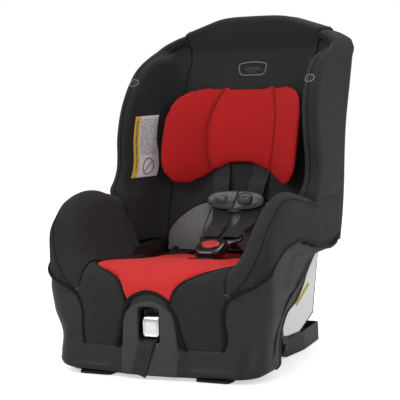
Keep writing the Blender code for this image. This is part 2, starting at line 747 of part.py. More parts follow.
def face_half(z):
    """Right seating face from the back corner forward to the wing's nose."""
    s = pad_scale(z)
    y = pad_y(z)
    depth = y - (wing_front(z) + NOSE)
    x_nose = wing_out(z) - WING_THICK
    path = [(151 * s, y - 0.10 * depth), (168 * s, y - 0.20 * depth), (179 * s, y - 0.38 * depth)]
    for f in (0.58, 0.8, 1.0):
        path.append((179 * s + (x_nose - 179 * s) * (f - 0.38) / 0.62, y - depth * f))
    return path


def along_inside(inside, y_front, x_mid, x_in, inset=0.0):
    """Along the shell's inside from y_front to the corner, then across the back to x_in."""
    y_corner = inside[CORNER][1]
    ys = [y_front + (y_corner - y_front) * f for f in (0, 0.35, 0.7, 1.0)]
    back = inside[:CORNER + 1]
    return ([(x_at(inside[CORNER - 1:], y) - inset, y) for y in ys]
            + [inside[CORNER - 1], (x_mid, y_at(back, x_mid)), (x_in, y_at(back, x_in))])


def wing_stop(z):
    """Rear side of the cover's fill at the shell's front edge."""
    return inside_at(z)[-1][1] + 6


def wing_cover_section(z):
    """Fabric over the seating face, round the nose and back along the shell's outside."""
    skin = shell_at(z, COVER_OUT)[CORNER:]
    outer_gap = shell_at(z, COVER_GAP)[CORNER:]
    inner_edge = inside_at(z)[-1]
    face = face_half(z)
    back = offset_path(face, 10.0)
    x_out, x_in = skin[-1][0], face[-1][0]
    cx, r = (x_out + x_in) / 2, (x_out - x_in) / 2
    nose = [(cx + r * math.cos(a), wing_front(z) + NOSE - NOSE * math.sin(a))
            for a in (math.radians(t) for t in (25, 60, 90, 120, 155))]
    return (skin + nose + list(reversed(face)) + back[:-1]
            + [(back[-1][0], max(wing_stop(z), back[-1][1])),
               (inner_edge[0], inner_edge[1] - 2.2),
               (outer_gap[-1][0], outer_gap[-1][1] - 2.2)]
            + list(reversed(outer_gap)))


def wing_foam_section(z):
    """Foam between the fabric of the seating face and the shell."""
    front = offset_path(face_half(z), 11.0)[:5]
    y_stop = wing_stop(z) + 4
    inside = inside_at(z)
    x_in = front[0][0] + 0.3
    x_mid = (inside[CORNER - 1][0] + x_in) / 2
    return ([(x, max(y, y_stop)) for x, y in front]
            + along_inside(inside, y_stop, x_mid, x_in))


def build_wing(sx, side):
    make(loft([level(wing_cover_section(z), z, sx) for z in WING_LEVELS]),
         "wing_cover_" + side, "fabric_black")
    make(loft([level(wing_foam_section(z), z, sx) for z in WING_LEVELS[:-1]]),
         "eps_foam_" + side, "foam")


def build_side_pad(sx, side):
    """Lower side pad between the arm rest and the back."""
    y_front = 252.0
    sections = []
    for z in (217, 225, 250, 280, 294, 304):
        y = pad_y(z)
        depth = y - y_front
        front = [(151, y - 0.10 * depth), (166, y - 0.2 * depth), (176, y - 0.38 * depth),
                 (180, y - 0.6 * depth), (182, y - 0.8 * depth), (184, y_front)]
        # The shell's front edge runs rearwards near the top of the arm rest.
        y_stop = 263.6 if z >= 304 else (254 if z > 290 else y_front)
        sections.append(level([(px, max(py, y_stop)) for px, py in front]
                              + along_inside(inside_at(z), y_stop, 165, 151.2, inset=0.9), z, sx))
    make(loft(sections), "side_pad_" + side, "fabric_black")


# ------------------------------------------------------------------ arm rests
# y, z of the cover's top
ARM_TOP = [(38, 208), (44, 226), (50, 243), (62, 265), (75, 283), (90, 299), (105, 310),
           (120, 318), (140, 324), (169, 325), (190, 321), (210, 315), (233, 311), (247, 311)]
# y, z of its outer hem
ARM_HEM = [(40, 214), (84, 223), (123, 239), (158, 244), (202, 239), (237, 226), (254, 214)]
# y, x of its inner face
ARM_IN = [(40, 206), (50, 198), (65, 190), (84, 186), (110, 182), (150, 180), (247, 183)]
# y, z of the top edge of the shell under it
ARM_EDGE = [(66, 240), (84, 280), (104, 294), (262, 305)]
ARM_STATIONS = (44, 52, 60, 66, 74, 84, 93, 104, 118, 132, 155, 185, 215, 247)
ARM_FOOT = 214           # bottom of the inner face


def arm_section(y):
    """Inverted U over the shell's wall, in x and z."""
    top, hem, x_in = lerp(ARM_TOP, y), lerp(ARM_HEM, y), lerp(ARM_IN, y)
    edge_z = lerp(ARM_EDGE, y)
    wall_top = min(edge_z + 3.2, top - 4)

    def wall_x(z, d):
        z_on_wall = min(max(z, 205.5), max(edge_z - 0.4, 235))
        return x_at(shell_at(z_on_wall, d)[CORNER:], max(y, 66.5))

    inner_zs = [min(z, wall_top - (4 - k) * 0.5)
                for k, z in enumerate((ARM_FOOT, 240, 280, 294, wall_top))]
    outer_zs = [max(z, hem + k * 0.2) for k, z in enumerate(inner_zs)]
    x_out = wall_x(wall_top, 4.0) + 1.2
    cx, rx = (x_out + x_in) / 2, (x_out - x_in) / 2
    rz = min(14.0, (top - hem) * 0.4)
    skin = [(wall_x(z, COVER_OUT), z) for z in (hem, hem + (wall_top - hem) * 0.5)]
    skin.append((x_out, top - rz))
    arc = [(cx + rx * math.cos(a), top - rz + rz * math.sin(a))
           for a in (math.radians(t) for t in (30, 60, 90, 120, 150))]
    inner = [(x_in, top - rz), (x_in + 1, (top + ARM_FOOT) / 2 - 8), (x_in + 2, ARM_FOOT)]
    slot_in = [(wall_x(z, -WALL - 1.3), z) for z in inner_zs]
    slot_out = [(wall_x(z, COVER_GAP), z) for z in reversed(outer_zs)]
    return skin + arc + inner + slot_in + slot_out


def build_arm(sx, side):
    make(loft([station(arm_section(y), y, sx) for y in ARM_STATIONS]),
         "arm_cover_" + side, "fabric_black")


# ------------------------------------------------------------------ crown cover
# x, z of the cover's top
CROWN_TOP = [(0, 656), (52, 655), (80, 651), (97, 645.5), (116, 637.5), (140, 628)]
CROWN_STATIONS = (-140, -116, -97, -80, -66, -52, -25, 0, 25, 52, 66, 80, 97, 116, 140)
CROWN_HEM = 603


def roof_z(x):
    """Outside of the shell's roof at a distance from the centre line."""
    return lerp([(-shell_half(z)[CORNER][0], z) for z in (600, 612, 622, 634, 643, 650)], -abs(x))


def crown_section(x):
    """Fabric from the back pad over the roof and down behind it, in y and z."""
    roof_top = roof_z(x)
    top = min(lerp(CROWN_TOP, abs(x)), roof_top + 7)
    rear = rear_y(roof_top - 4) + 9.5
    front = rear_y(roof_top) - 48
    rear_hem = rear_y(604) + 9.2
    pad = pad_y(602)
    z_mid = (roof_top + CROWN_HEM) / 2
    outer = [(rear_hem + 2.6, CROWN_HEM), (rear + 2.6, roof_top - 8), (rear - 2, roof_top + 2.5),
             (rear - 14, top - 1), (front + 10, top), (front - 6, top - 3),
             (front - 13, roof_top - 6), (front - 13 + (pad - front + 13) * 0.4, z_mid),
             (pad, CROWN_HEM)]
    inner = [(pad + 12, CROWN_HEM), (front + 1, z_mid - 2), (front - 2.2, roof_top - 8),
             (front - 2.2, roof_top + 1.4), (rear - 14, roof_top + 1.4), (rear - 3, roof_top + 0.9),
             (rear + 0.6, roof_top - 8), (rear_hem + 0.9, CROWN_HEM)]
    return outer + inner


def build_crown():
    make(loft([profile(crown_section(x), x) for x in CROWN_STATIONS]),
         "crown_cover", "fabric_black")


# ------------------------------------------------------------------ seat cushion and leg bolsters
# y, half width, z of the top
CUSHION = [(26, 44, 163), (42, 46, 175), (60, 60, 189), (76, 110, 196), (90, 148, 198),
           (134, 149, 197), (180, 149, 190), (212, 149, 184), (260, 149, 178), (310, 149, 176),
           (340, 149, 179), (356, 149, 186)]
# y, inner x, outer x, z of the top, for the right bolster
BOLSTER = [(27, 60, 172, 170), (38, 60, 184, 181), (50, 64, 198, 193), (64, 90, 210, 201),
           (78, 126, 216, 207), (88, 151.5, 219, 210), (130, 151, 219, 209),
           (165, 151, 203, 208), (194, 151, 201, 203)]
PAN_LIP_Y = 65           # ahead of this the soft parts stand higher off the pan
PAN_GAP = 1.2


def build_cushion():
    sections = []
    for y, half, top in CUSHION:
        bottom = pan_z(y) + (PAN_GAP if y > PAN_LIP_Y else 3.2)
        right = [(0, top), (half * 0.5, top + 0.5), (half - 8, top - 1), (half, top - 9),
                 (half, bottom)]
        sections.append(station(both(right), y))
    cushion = make(loft(sections), "seat_cushion", "fabric_red")
    cut(cushion, box(span(0, 20.5), (212, 225), (120, 215)), "crotch")
    for sx, side in SIDES:
        cut(cushion, box(span(sx * 121, 25), (323, 340), (120, 215)), "hip_" + side)


def build_bolster(sx, side):
    sections = []
    for y, x_in, x_out, top in BOLSTER:
        bottom = pan_z(y) + (PAN_GAP if y >= PAN_LIP_Y else 3.4)
        h = top - bottom
        sections.append(station([(x_in, bottom), (x_in, bottom + h * 0.45),
                                 (x_in + 6, bottom + h * 0.8), (x_in + 18, top),
                                 (x_out - 12, top - 1), (x_out, bottom + h * 0.7),
                                 (x_out, bottom)], y, sx))
    make(loft(sections), "leg_bolster_" + side, "fabric_black")


# ------------------------------------------------------------------ front apron
APRON = [(62.6, 147), (80, 151), (105, 158), (130, 166), (146, 174)]     # z, half width
# x, z round the arch left open over the adjuster
APRON_ARCH = [(-66, 40), (66, 40), (62, 100), (54, 128), (38, 141), (0, 141), (-38, 141),
              (-54, 128), (-62, 100)]


def build_apron():
    sections = []
    for z, half in APRON:
        base_path = base_half(z)[:9]
        inner = [(x, y_at(base_path, x) - 1.4) for x in (0, 30, 50, 62, 90, 120, 140, half)]
        outer = [(x, y - 5.0) for x, y in inner]
        sections.append(level(both(outer) + list(reversed(both(inner))), z))
    apron = make(loft(sections), "front_apron", "fabric_black")
    cut(apron, prism_y(APRON_ARCH, -20, 60), "arch")


# ------------------------------------------------------------------ lumbar panel and head pillow
LUMBAR_TOP = [(0, 298), (60, 294), (95, 280), (120, 256), (132, 232)]    # x, z
LUMBAR_GAP = 1.3         # from the back pad to the panel
# x, z of the pillow's upper and lower edges
PILLOW_TOP = [(0, 516), (52, 514), (90, 507), (115, 494), (135, 468), (148, 436)]
PILLOW_BOTTOM = [(0, 354), (40, 348), (68, 338), (95, 325), (115, 320), (134, 330), (148, 366)]
PILLOW_T = [(0, 17), (100, 22), (128, 20), (148, 10)]                    # x, thickness
PILLOW_STATIONS = (-148, -141, -128, -110, -90, -68, -40, -15, 15, 40, 68, 90, 110, 128, 141, 148)
PILLOW_GAP = 6.6         # from the back pad's centre line to the pillow
PILLOW_Z = 418           # height of the pillow's origin


def pad_face(x, z):
    """Front of the back pad anywhere across it."""
    return lerp([(pad_level, y_at(back_front(pad_level), abs(x))) for pad_level in PAD_LEVELS], z)


def build_lumbar():
    sections = []
    for x in (-132, -120, -95, -60, -25, 0, 25, 60, 95, 120, 132):
        top = lerp(LUMBAR_TOP, abs(x))
        middle = 0.5 * (212 + top)
        front = [(200, 2.6), (212, 5.2), (middle, 5.2), (top - 4, 5.2), (top, 2.6)]
        path = [(pad_face(x, z) - LUMBAR_GAP - thick, z) for z, thick in front]
        path += [(pad_face(x, z) - LUMBAR_GAP, z) for z in (top, middle, 200)]
        sections.append(profile(path, x))
    make(loft(sections), "lumbar_panel", "mesh_grey")


def build_pillow():
    sections = []
    for x in PILLOW_STATIONS:
        top, bottom = lerp(PILLOW_TOP, abs(x)), lerp(PILLOW_BOTTOM, abs(x))
        # The ends curl forward along the wings.
        curl = max(0.0, (abs(x) - 60) / 88.0) ** 1.5 * 50.0
        thick = lerp(PILLOW_T, abs(x))
        middle = (top + bottom) / 2
        # z, share of the thickness, up the front
        front = [(bottom, 0.25), (bottom + 12, 0.75), (bottom + (middle - bottom) * 0.6, 1.0),
                 (middle, 1.08), (middle + (top - middle) * 0.5, 1), (top - 14, 0.75), (top, 0.25)]
        path = [(pad_y(z) - PILLOW_GAP - curl - thick * share, z) for z, share in front]
        path += [(pad_y(z) - PILLOW_GAP - curl, z) for z in (top, middle, bottom)]
        sections.append(profile(path, x))
    make(loft(sections), "head_pillow", "fabric_red", origin=(0, pad_y(PILLOW_Z) - 20, PILLOW_Z))


# ------------------------------------------------------------------ labels
# y, z round the label on each side of the rear box
SIDE_LABEL = [(266, 60), (309, 50), (370, 78), (377, 96), (400, 180), (392, 192), (344, 194),
              (322, 176), (296, 118), (270, 92)]


def build_side_label(sx, side):
    make(prism_x(SIDE_LABEL, sx * 158.9, sx * 159.5), "side_label_" + side, "label")


def build_wing_label():
    """On the seating face of the left wing."""
    sections = []
    for z in (340, 352, 375, 400, 430, 461):
        face = face_half(z)
        ys = [wing_front(z) + 18.0 + k * 19.0 for k in range(5)]
        line = [(x_at(face, y), y) for y in ys]
        sections.append(level([(x - 0.4, y) for x, y in line]
                              + [(x - 1.0, y) for x, y in reversed(line)], z, -1))
    make(loft(sections), "wing_label", "label")


# ------------------------------------------------------------------ build
for build in (build_shell, build_stand, build_adjuster, build_splitter, build_anchors,
              build_buckle, build_chest_clip, build_back, build_crown, build_cushion,
              build_apron, build_lumbar, build_pillow, build_wing_label):
    build()
for build_pair in (build_stand_pin, build_front_pad, build_straps, build_wing, build_side_pad,
                   build_arm, build_bolster, build_side_label):
    for sx, side in SIDES:
        build_pair(sx, side)
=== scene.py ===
"""Looks of the convertible child car seat: covers, pads, webbing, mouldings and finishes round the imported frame."""
import math
import random

import bmesh
import bpy
import numpy as np
from mathutils import Matrix, Vector
from mathutils.bvhtree import BVHTree


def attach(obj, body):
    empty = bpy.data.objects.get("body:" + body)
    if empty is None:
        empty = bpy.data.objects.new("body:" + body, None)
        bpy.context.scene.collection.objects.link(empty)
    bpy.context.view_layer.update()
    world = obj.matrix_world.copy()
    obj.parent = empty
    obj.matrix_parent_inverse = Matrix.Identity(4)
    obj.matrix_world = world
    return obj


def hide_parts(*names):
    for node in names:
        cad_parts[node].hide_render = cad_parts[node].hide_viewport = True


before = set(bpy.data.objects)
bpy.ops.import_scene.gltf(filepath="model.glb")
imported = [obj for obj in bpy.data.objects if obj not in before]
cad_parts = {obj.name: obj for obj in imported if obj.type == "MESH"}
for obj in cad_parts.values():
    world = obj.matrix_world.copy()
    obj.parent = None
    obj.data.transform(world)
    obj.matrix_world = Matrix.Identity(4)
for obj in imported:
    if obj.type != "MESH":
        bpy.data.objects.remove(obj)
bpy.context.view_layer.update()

Y_MID = 269.05               # design millimetres: x right, y back from the front, z up
SIDES = ((1, "right"), (-1, "left"))
random.seed(7)


def row(p):
    return Vector((p[0] * 0.001, (p[1] - Y_MID) * 0.001, p[2] * 0.001))


# ------------------------------------------------------------------ curves
def spline(t, y, q, monotone=False):
    """Cubic through the knots (t, y), sampled at q; y may be a list of points."""
    t, y, q = np.asarray(t, float), np.asarray(y, float), np.asarray(q, float)
    h = np.diff(t)
    hs = h.reshape((-1,) + (1,) * (y.ndim - 1))
    d = np.diff(y, axis=0) / hs
    m = np.zeros_like(y)
    m[0], m[-1] = d[0], d[-1]
    if len(t) > 2:
        m[1:-1] = (hs[:-1] * d[1:] + hs[1:] * d[:-1]) / (hs[:-1] + hs[1:])
        if monotone:
            lim = 3 * np.minimum(np.abs(d[:-1]), np.abs(d[1:]))
            m[1:-1] = np.where(d[:-1] * d[1:] > 0, np.clip(m[1:-1], -lim, lim), 0.0)
    i = np.clip(np.searchsorted(t, q, side="right") - 1, 0, len(t) - 2)
    s = (q - t[i]) / h[i]
    s = s.reshape(s.shape + (1,) * (y.ndim - 1))
    hh = h[i].reshape(s.shape)
    a, b = y[i], y[i + 1]
    return ((2 * s ** 3 - 3 * s ** 2 + 1) * a + (s ** 3 - 2 * s ** 2 + s) * hh * m[i]
            + (-2 * s ** 3 + 3 * s ** 2) * b + (s ** 3 - s ** 2) * hh * m[i + 1])


def table(pairs):
    xs, ys = [p[0] for p in pairs], [p[1] for p in pairs]

    def f(x):
        return float(spline(xs, ys, np.array([min(max(x, xs[0]), xs[-1])]), True)[0])
    return f


def chord(points):
    p = np.asarray(points, float)
    return np.concatenate([[0.0], np.cumsum(np.linalg.norm(np.diff(p, axis=0), axis=-1))])


def path(points, step=4.0, n=None, closed=False):
    """A smooth run of points through the given ones, step mm apart."""
    p = np.asarray(points, float)
    if closed:
        k = len(p)
        p = np.concatenate([p[-3:], p, p[:4]])
        t = chord(p)
        a, b = t[3], t[3 + k]
        n = n or max(8, int((b - a) / step))
        return spline(t, p, np.linspace(a, b, n, endpoint=False))
    t = chord(p)
    n = n or max(3, int(t[-1] / step) + 1)
    return spline(t, p, np.linspace(0, t[-1], n))


def refine(net, nu, nv):
    """A net of points (rows, columns, 3) resampled finely both ways."""
    net = np.asarray(net, float)
    tv = np.mean([np.maximum(chord(r), np.arange(net.shape[1]) * 1e-3) for r in net], axis=0)
    net = np.stack([spline(tv, r, np.linspace(0, tv[-1], nv)) for r in net])
    tu = np.mean([np.maximum(chord(net[:, j]), np.arange(net.shape[0]) * 1e-3)
                  for j in range(net.shape[1])], axis=0)
    cols = spline(tu, net, np.linspace(0, tu[-1], nu))
    return cols


# ------------------------------------------------------------------ materials
class Nodes:
    """Small helper to write shader graphs as expressions."""

    def __init__(self, name):
        self.mat = bpy.data.materials.new(name)
        self.mat.use_nodes = True
        self.t = self.mat.node_tree
        self.bsdf = self.t.nodes["Principled BSDF"]
        self.tex = self.t.nodes.new("ShaderNodeTexCoord")

    def put(self, socket, value):
        if isinstance(value, bpy.types.NodeSocket):
            self.t.links.new(value, socket)
        else:
            socket.default_value = value

    def math(self, op, a, b=0.0, c=0.0, clamp=False):
        n = self.t.nodes.new("ShaderNodeMath")
        n.operation, n.use_clamp = op, clamp
        for s, v in zip(n.inputs, (a, b, c)):
            self.put(s, v)
        return n.outputs[0]

    def xyz(self, socket):
        n = self.t.nodes.new("ShaderNodeSeparateXYZ")
        self.put(n.inputs[0], socket)
        return n.outputs

    def noise(self, scale, detail=2.0, rough=0.5, vector=None, out="Fac"):
        n = self.t.nodes.new("ShaderNodeTexNoise")
        self.put(n.inputs["Vector"], vector or self.tex.outputs["Object"])
        n.inputs["Scale"].default_value = scale
        n.inputs["Detail"].default_value = detail
        n.inputs["Roughness"].default_value = rough
        return n.outputs[out]

    def voronoi(self, scale, feature="F1", vector=None, out="Distance"):
        n = self.t.nodes.new("ShaderNodeTexVoronoi")
        n.feature = feature
        self.put(n.inputs["Vector"], vector or self.tex.outputs["Object"])
        n.inputs["Scale"].default_value = scale
        return n.outputs[out]

    def ramp(self, fac, *stops):
        n = self.t.nodes.new("ShaderNodeValToRGB")
        self.put(n.inputs[0], fac)
        e = n.color_ramp.elements
        while len(e) < len(stops):
            e.new(0.5)
        for el, (pos, col) in zip(e, stops):
            el.position = pos
            el.color = (*col, 1.0) if isinstance(col, (tuple, list)) else (col, col, col, 1.0)
        return n.outputs[0]

    def mix(self, fac, a, b, mode="MIX"):
        n = self.t.nodes.new("ShaderNodeMix")
        n.data_type, n.blend_type = "RGBA", mode
        self.put(n.inputs["Factor"], fac)
        for s, v in ((n.inputs[6], a), (n.inputs[7], b)):
            self.put(s, (*v, 1.0) if isinstance(v, (tuple, list)) and len(v) == 3 else v)
        return n.outputs[2]

    def stretched(self, sx, sy, sz):
        n = self.t.nodes.new("ShaderNodeMapping")
        self.put(n.inputs["Vector"], self.tex.outputs["Object"])
        n.inputs["Scale"].default_value = (sx, sy, sz)
        return n.outputs[0]

    def scale(self, rgb, by):
        n = self.t.nodes.new("ShaderNodeVectorMath")
        n.operation = "SCALE"
        n.inputs[0].default_value = rgb
        self.put(n.inputs["Scale"], by)
        return n.outputs[0]

    def bump(self, height, strength, distance, normal=None):
        n = self.t.nodes.new("ShaderNodeBump")
        self.put(n.inputs["Height"], height)
        n.inputs["Strength"].default_value = strength
        n.inputs["Distance"].default_value = distance
        if normal is not None:
            self.put(n.inputs["Normal"], normal)
        return n.outputs[0]

    def out(self, color=None, rough=None, metal=None, normal=None, **more):
        i = self.bsdf.inputs
        for key, v in (("Base Color", color), ("Roughness", rough), ("Metallic", metal), ("Normal", normal)):
            if v is not None:
                self.put(i[key], (*v, 1.0) if isinstance(v, (tuple, list)) and len(v) == 3 else v)
        for key, v in more.items():
            self.put(i[key.replace("_", " ")], v)
        self.mat.diffuse_color = (*(color if isinstance(color, tuple) else (0.5, 0.5, 0.5)), 1.0)
        return self.mat


def fabric(name, rgb, light=1.35, period=1.15, rough=0.88, sheen=0.25, mottled=0.16, sheen_tint=None):
    """Knitted cover cloth: crossed yarns about a millimetre apart over a soft mottle."""
    g = Nodes(name)
    x, y, z = g.xyz(g.tex.outputs["Object"])
    k = 2 * math.pi / (period * 0.001)
    a = g.math("SINE", g.math("MULTIPLY", g.math("ADD", x, y), k))
    b = g.math("SINE", g.math("MULTIPLY", g.math("ADD", z, g.math("MULTIPLY", g.math("SUBTRACT", y, x), 0.5)), k))
    weave = g.math("MULTIPLY_ADD", g.math("MULTIPLY", a, b), 0.5, 0.5)
    fuzz = g.noise(2600, 2, 0.6)
    soft = g.noise(16, 3, 0.55)
    tone = g.math("MULTIPLY_ADD", soft, mottled, 1.0 - mottled / 2)
    tone = g.math("MULTIPLY", tone, g.math("MULTIPLY_ADD", weave, 0.24, 0.88))
    tone = g.math("MULTIPLY", tone, g.math("MULTIPLY_ADD", fuzz, 0.3, 0.85))
    c = g.scale(rgb, tone)
    c = g.mix(g.math("MULTIPLY", g.ramp(fuzz, (0.62, 0.0), (0.75, 1.0)), 0.35), c,
              tuple(min(1.0, v * light + 0.01) for v in rgb))
    n = g.bump(g.noise(55, 3, 0.5), 0.10, 0.004)
    n = g.bump(g.math("ADD", weave, g.math("MULTIPLY", fuzz, 0.8)), 0.35, 0.0004, n)
    g.out(c, g.math("MULTIPLY_ADD", weave, 0.08, rough - 0.04), 0.0, n, Sheen_Weight=sheen, Sheen_Roughness=0.45)
    g.bsdf.inputs["Specular IOR Level"].default_value = 0.16
    if sheen_tint:
        g.bsdf.inputs["Sheen Tint"].default_value = (*sheen_tint, 1.0)
    return g.mat


def moulded(name, rgb, rough=0.5, grain=900.0, depth=0.00025, strength=0.25, coat=0.0, spec=0.5):
    """Moulded plastic with a fine spark-eroded grain, faint scuffs and uneven gloss."""
    g = Nodes(name)
    cells = g.voronoi(grain, "SMOOTH_F1")
    fine = g.noise(grain * 1.7, 3, 0.6)
    wide = g.noise(9, 3, 0.5)
    scuff = g.ramp(g.noise(120, 6, 0.75), (0.58, 0.0), (0.70, 1.0))
    tone = g.math("MULTIPLY_ADD", wide, 0.14, 0.93)
    c = g.scale(rgb, tone)
    c = g.mix(g.math("MULTIPLY", scuff, 0.10), c, tuple(min(1.0, v * 1.8 + 0.01) for v in rgb))
    r = g.math("MULTIPLY_ADD", g.noise(30, 4, 0.6), 0.14, rough - 0.07)
    r = g.math("ADD", r, g.math("MULTIPLY", scuff, 0.07))
    n = g.bump(g.math("ADD", cells, g.math("MULTIPLY", fine, 0.5)), strength, depth)
    g.out(c, r, 0.0, n, Coat_Weight=coat)
    g.bsdf.inputs["Specular IOR Level"].default_value = spec
    return g.mat


def metal(name, rgb, rough, brushed=0.3, period=0.35):
    g = Nodes(name)
    x, y, z = g.xyz(g.tex.outputs["Object"])
    n1 = g.t.nodes.new("ShaderNodeMapping")
    g.put(n1.inputs["Vector"], g.tex.outputs["Object"])
    n1.inputs["Scale"].default_value = (1.0, 12.0, 12.0)
    lines = g.noise(420, 4, 0.7, n1.outputs[0])
    smudge = g.noise(60, 4, 0.6)
    r = g.math("MULTIPLY_ADD", smudge, 0.16, rough - 0.04)
    c = g.mix(g.math("MULTIPLY", lines, 0.3), rgb, tuple(v * 0.82 for v in rgb))
    g.out(c, r, 1.0, g.bump(lines, brushed, 0.00008))
    return g.mat


def webbing(name, rgb):
    """Woven strap: diagonal twill on the flats, a ribbed band along each edge; UVs are in millimetres."""
    g = Nodes(name)
    u, v, _ = g.xyz(g.tex.outputs["UV"])
    k = 2 * math.pi
    rib = g.math("SINE", g.math("MULTIPLY", u, k / 2.2))
    pick = g.math("SINE", g.math("MULTIPLY", g.math("ADD", v, g.math("MULTIPLY", g.math("ABSOLUTE",
                  g.math("SUBTRACT", g.math("MODULO", g.math("ADD", u, 100.0), 8.8), 4.4)), 0.9)), k / 1.5))
    h = g.math("ADD", g.math("MULTIPLY", rib, 0.6), g.math("MULTIPLY", pick, 0.45))
    fuzz = g.noise(2600, 2, 0.6)
    tone = g.math("MULTIPLY_ADD", h, 0.14, g.math("MULTIPLY_ADD", fuzz, 0.35, 0.8))
    c = g.scale(rgb, tone)
    r = g.math("MULTIPLY_ADD", g.math("ADD", h, 1.0), 0.05, 0.50)
    g.out(c, r, 0.0, g.bump(g.math("ADD", h, g.math("MULTIPLY", fuzz, 0.5)), 0.55, 0.0006), Sheen_Weight=0.05)
    return g.mat


def mesh_cloth(name, rgb, hole):
    """Spacer mesh: staggered round holes in a knitted ground; UVs are in millimetres."""
    g = Nodes(name)
    u, v, _ = g.xyz(g.tex.outputs["UV"])
    p = 3.5

    def dots(du, dv):
        a = g.math("SUBTRACT", g.math("MODULO", g.math("ADD", u, 900.0 + du), p), p / 2)
        b = g.math("SUBTRACT", g.math("MODULO", g.math("ADD", v, 900.0 + dv), p * 1.15), p * 0.575)
        d = g.math("SQRT", g.math("ADD", g.math("MULTIPLY", a, a), g.math("MULTIPLY", b, b)))
        return g.math("DIVIDE", d, p)
    d = g.math("MINIMUM", dots(0, 0), dots(p / 2, p * 0.575))
    open_ = g.ramp(d, (0.20, 1.0), (0.33, 0.0))
    fuzz = g.noise(1800, 3, 0.6)
    base = g.mix(g.math("MULTIPLY", fuzz, 0.5), rgb, tuple(v_ * 0.6 for v_ in rgb))
    c = g.mix(open_, base, hole)
    n = g.bump(g.math("SUBTRACT", 1.0, open_), 0.8, 0.0012)
    n = g.bump(fuzz, 0.3, 0.0004, n)
    g.out(c, 0.8, 0.0, n, Sheen_Weight=0.05)
    return g.mat


def beads(name):
    """Expanded bead foam."""
    g = Nodes(name)
    d = g.voronoi(260, "F1")
    e = g.ramp(g.voronoi(260, "DISTANCE_TO_EDGE"), (0.0, 0.0), (0.12, 1.0))
    c = g.mix(g.math("MULTIPLY", d, 0.5), (0.042, 0.042, 0.043), (0.030, 0.030, 0.031))
    c = g.mix(g.math("SUBTRACT", 1.0, e), c, (0.018, 0.018, 0.018))
    g.out(c, 0.75, 0.0, g.bump(g.math("ADD", e, g.math("MULTIPLY", d, -0.6)), 0.6, 0.0012))
    return g.mat


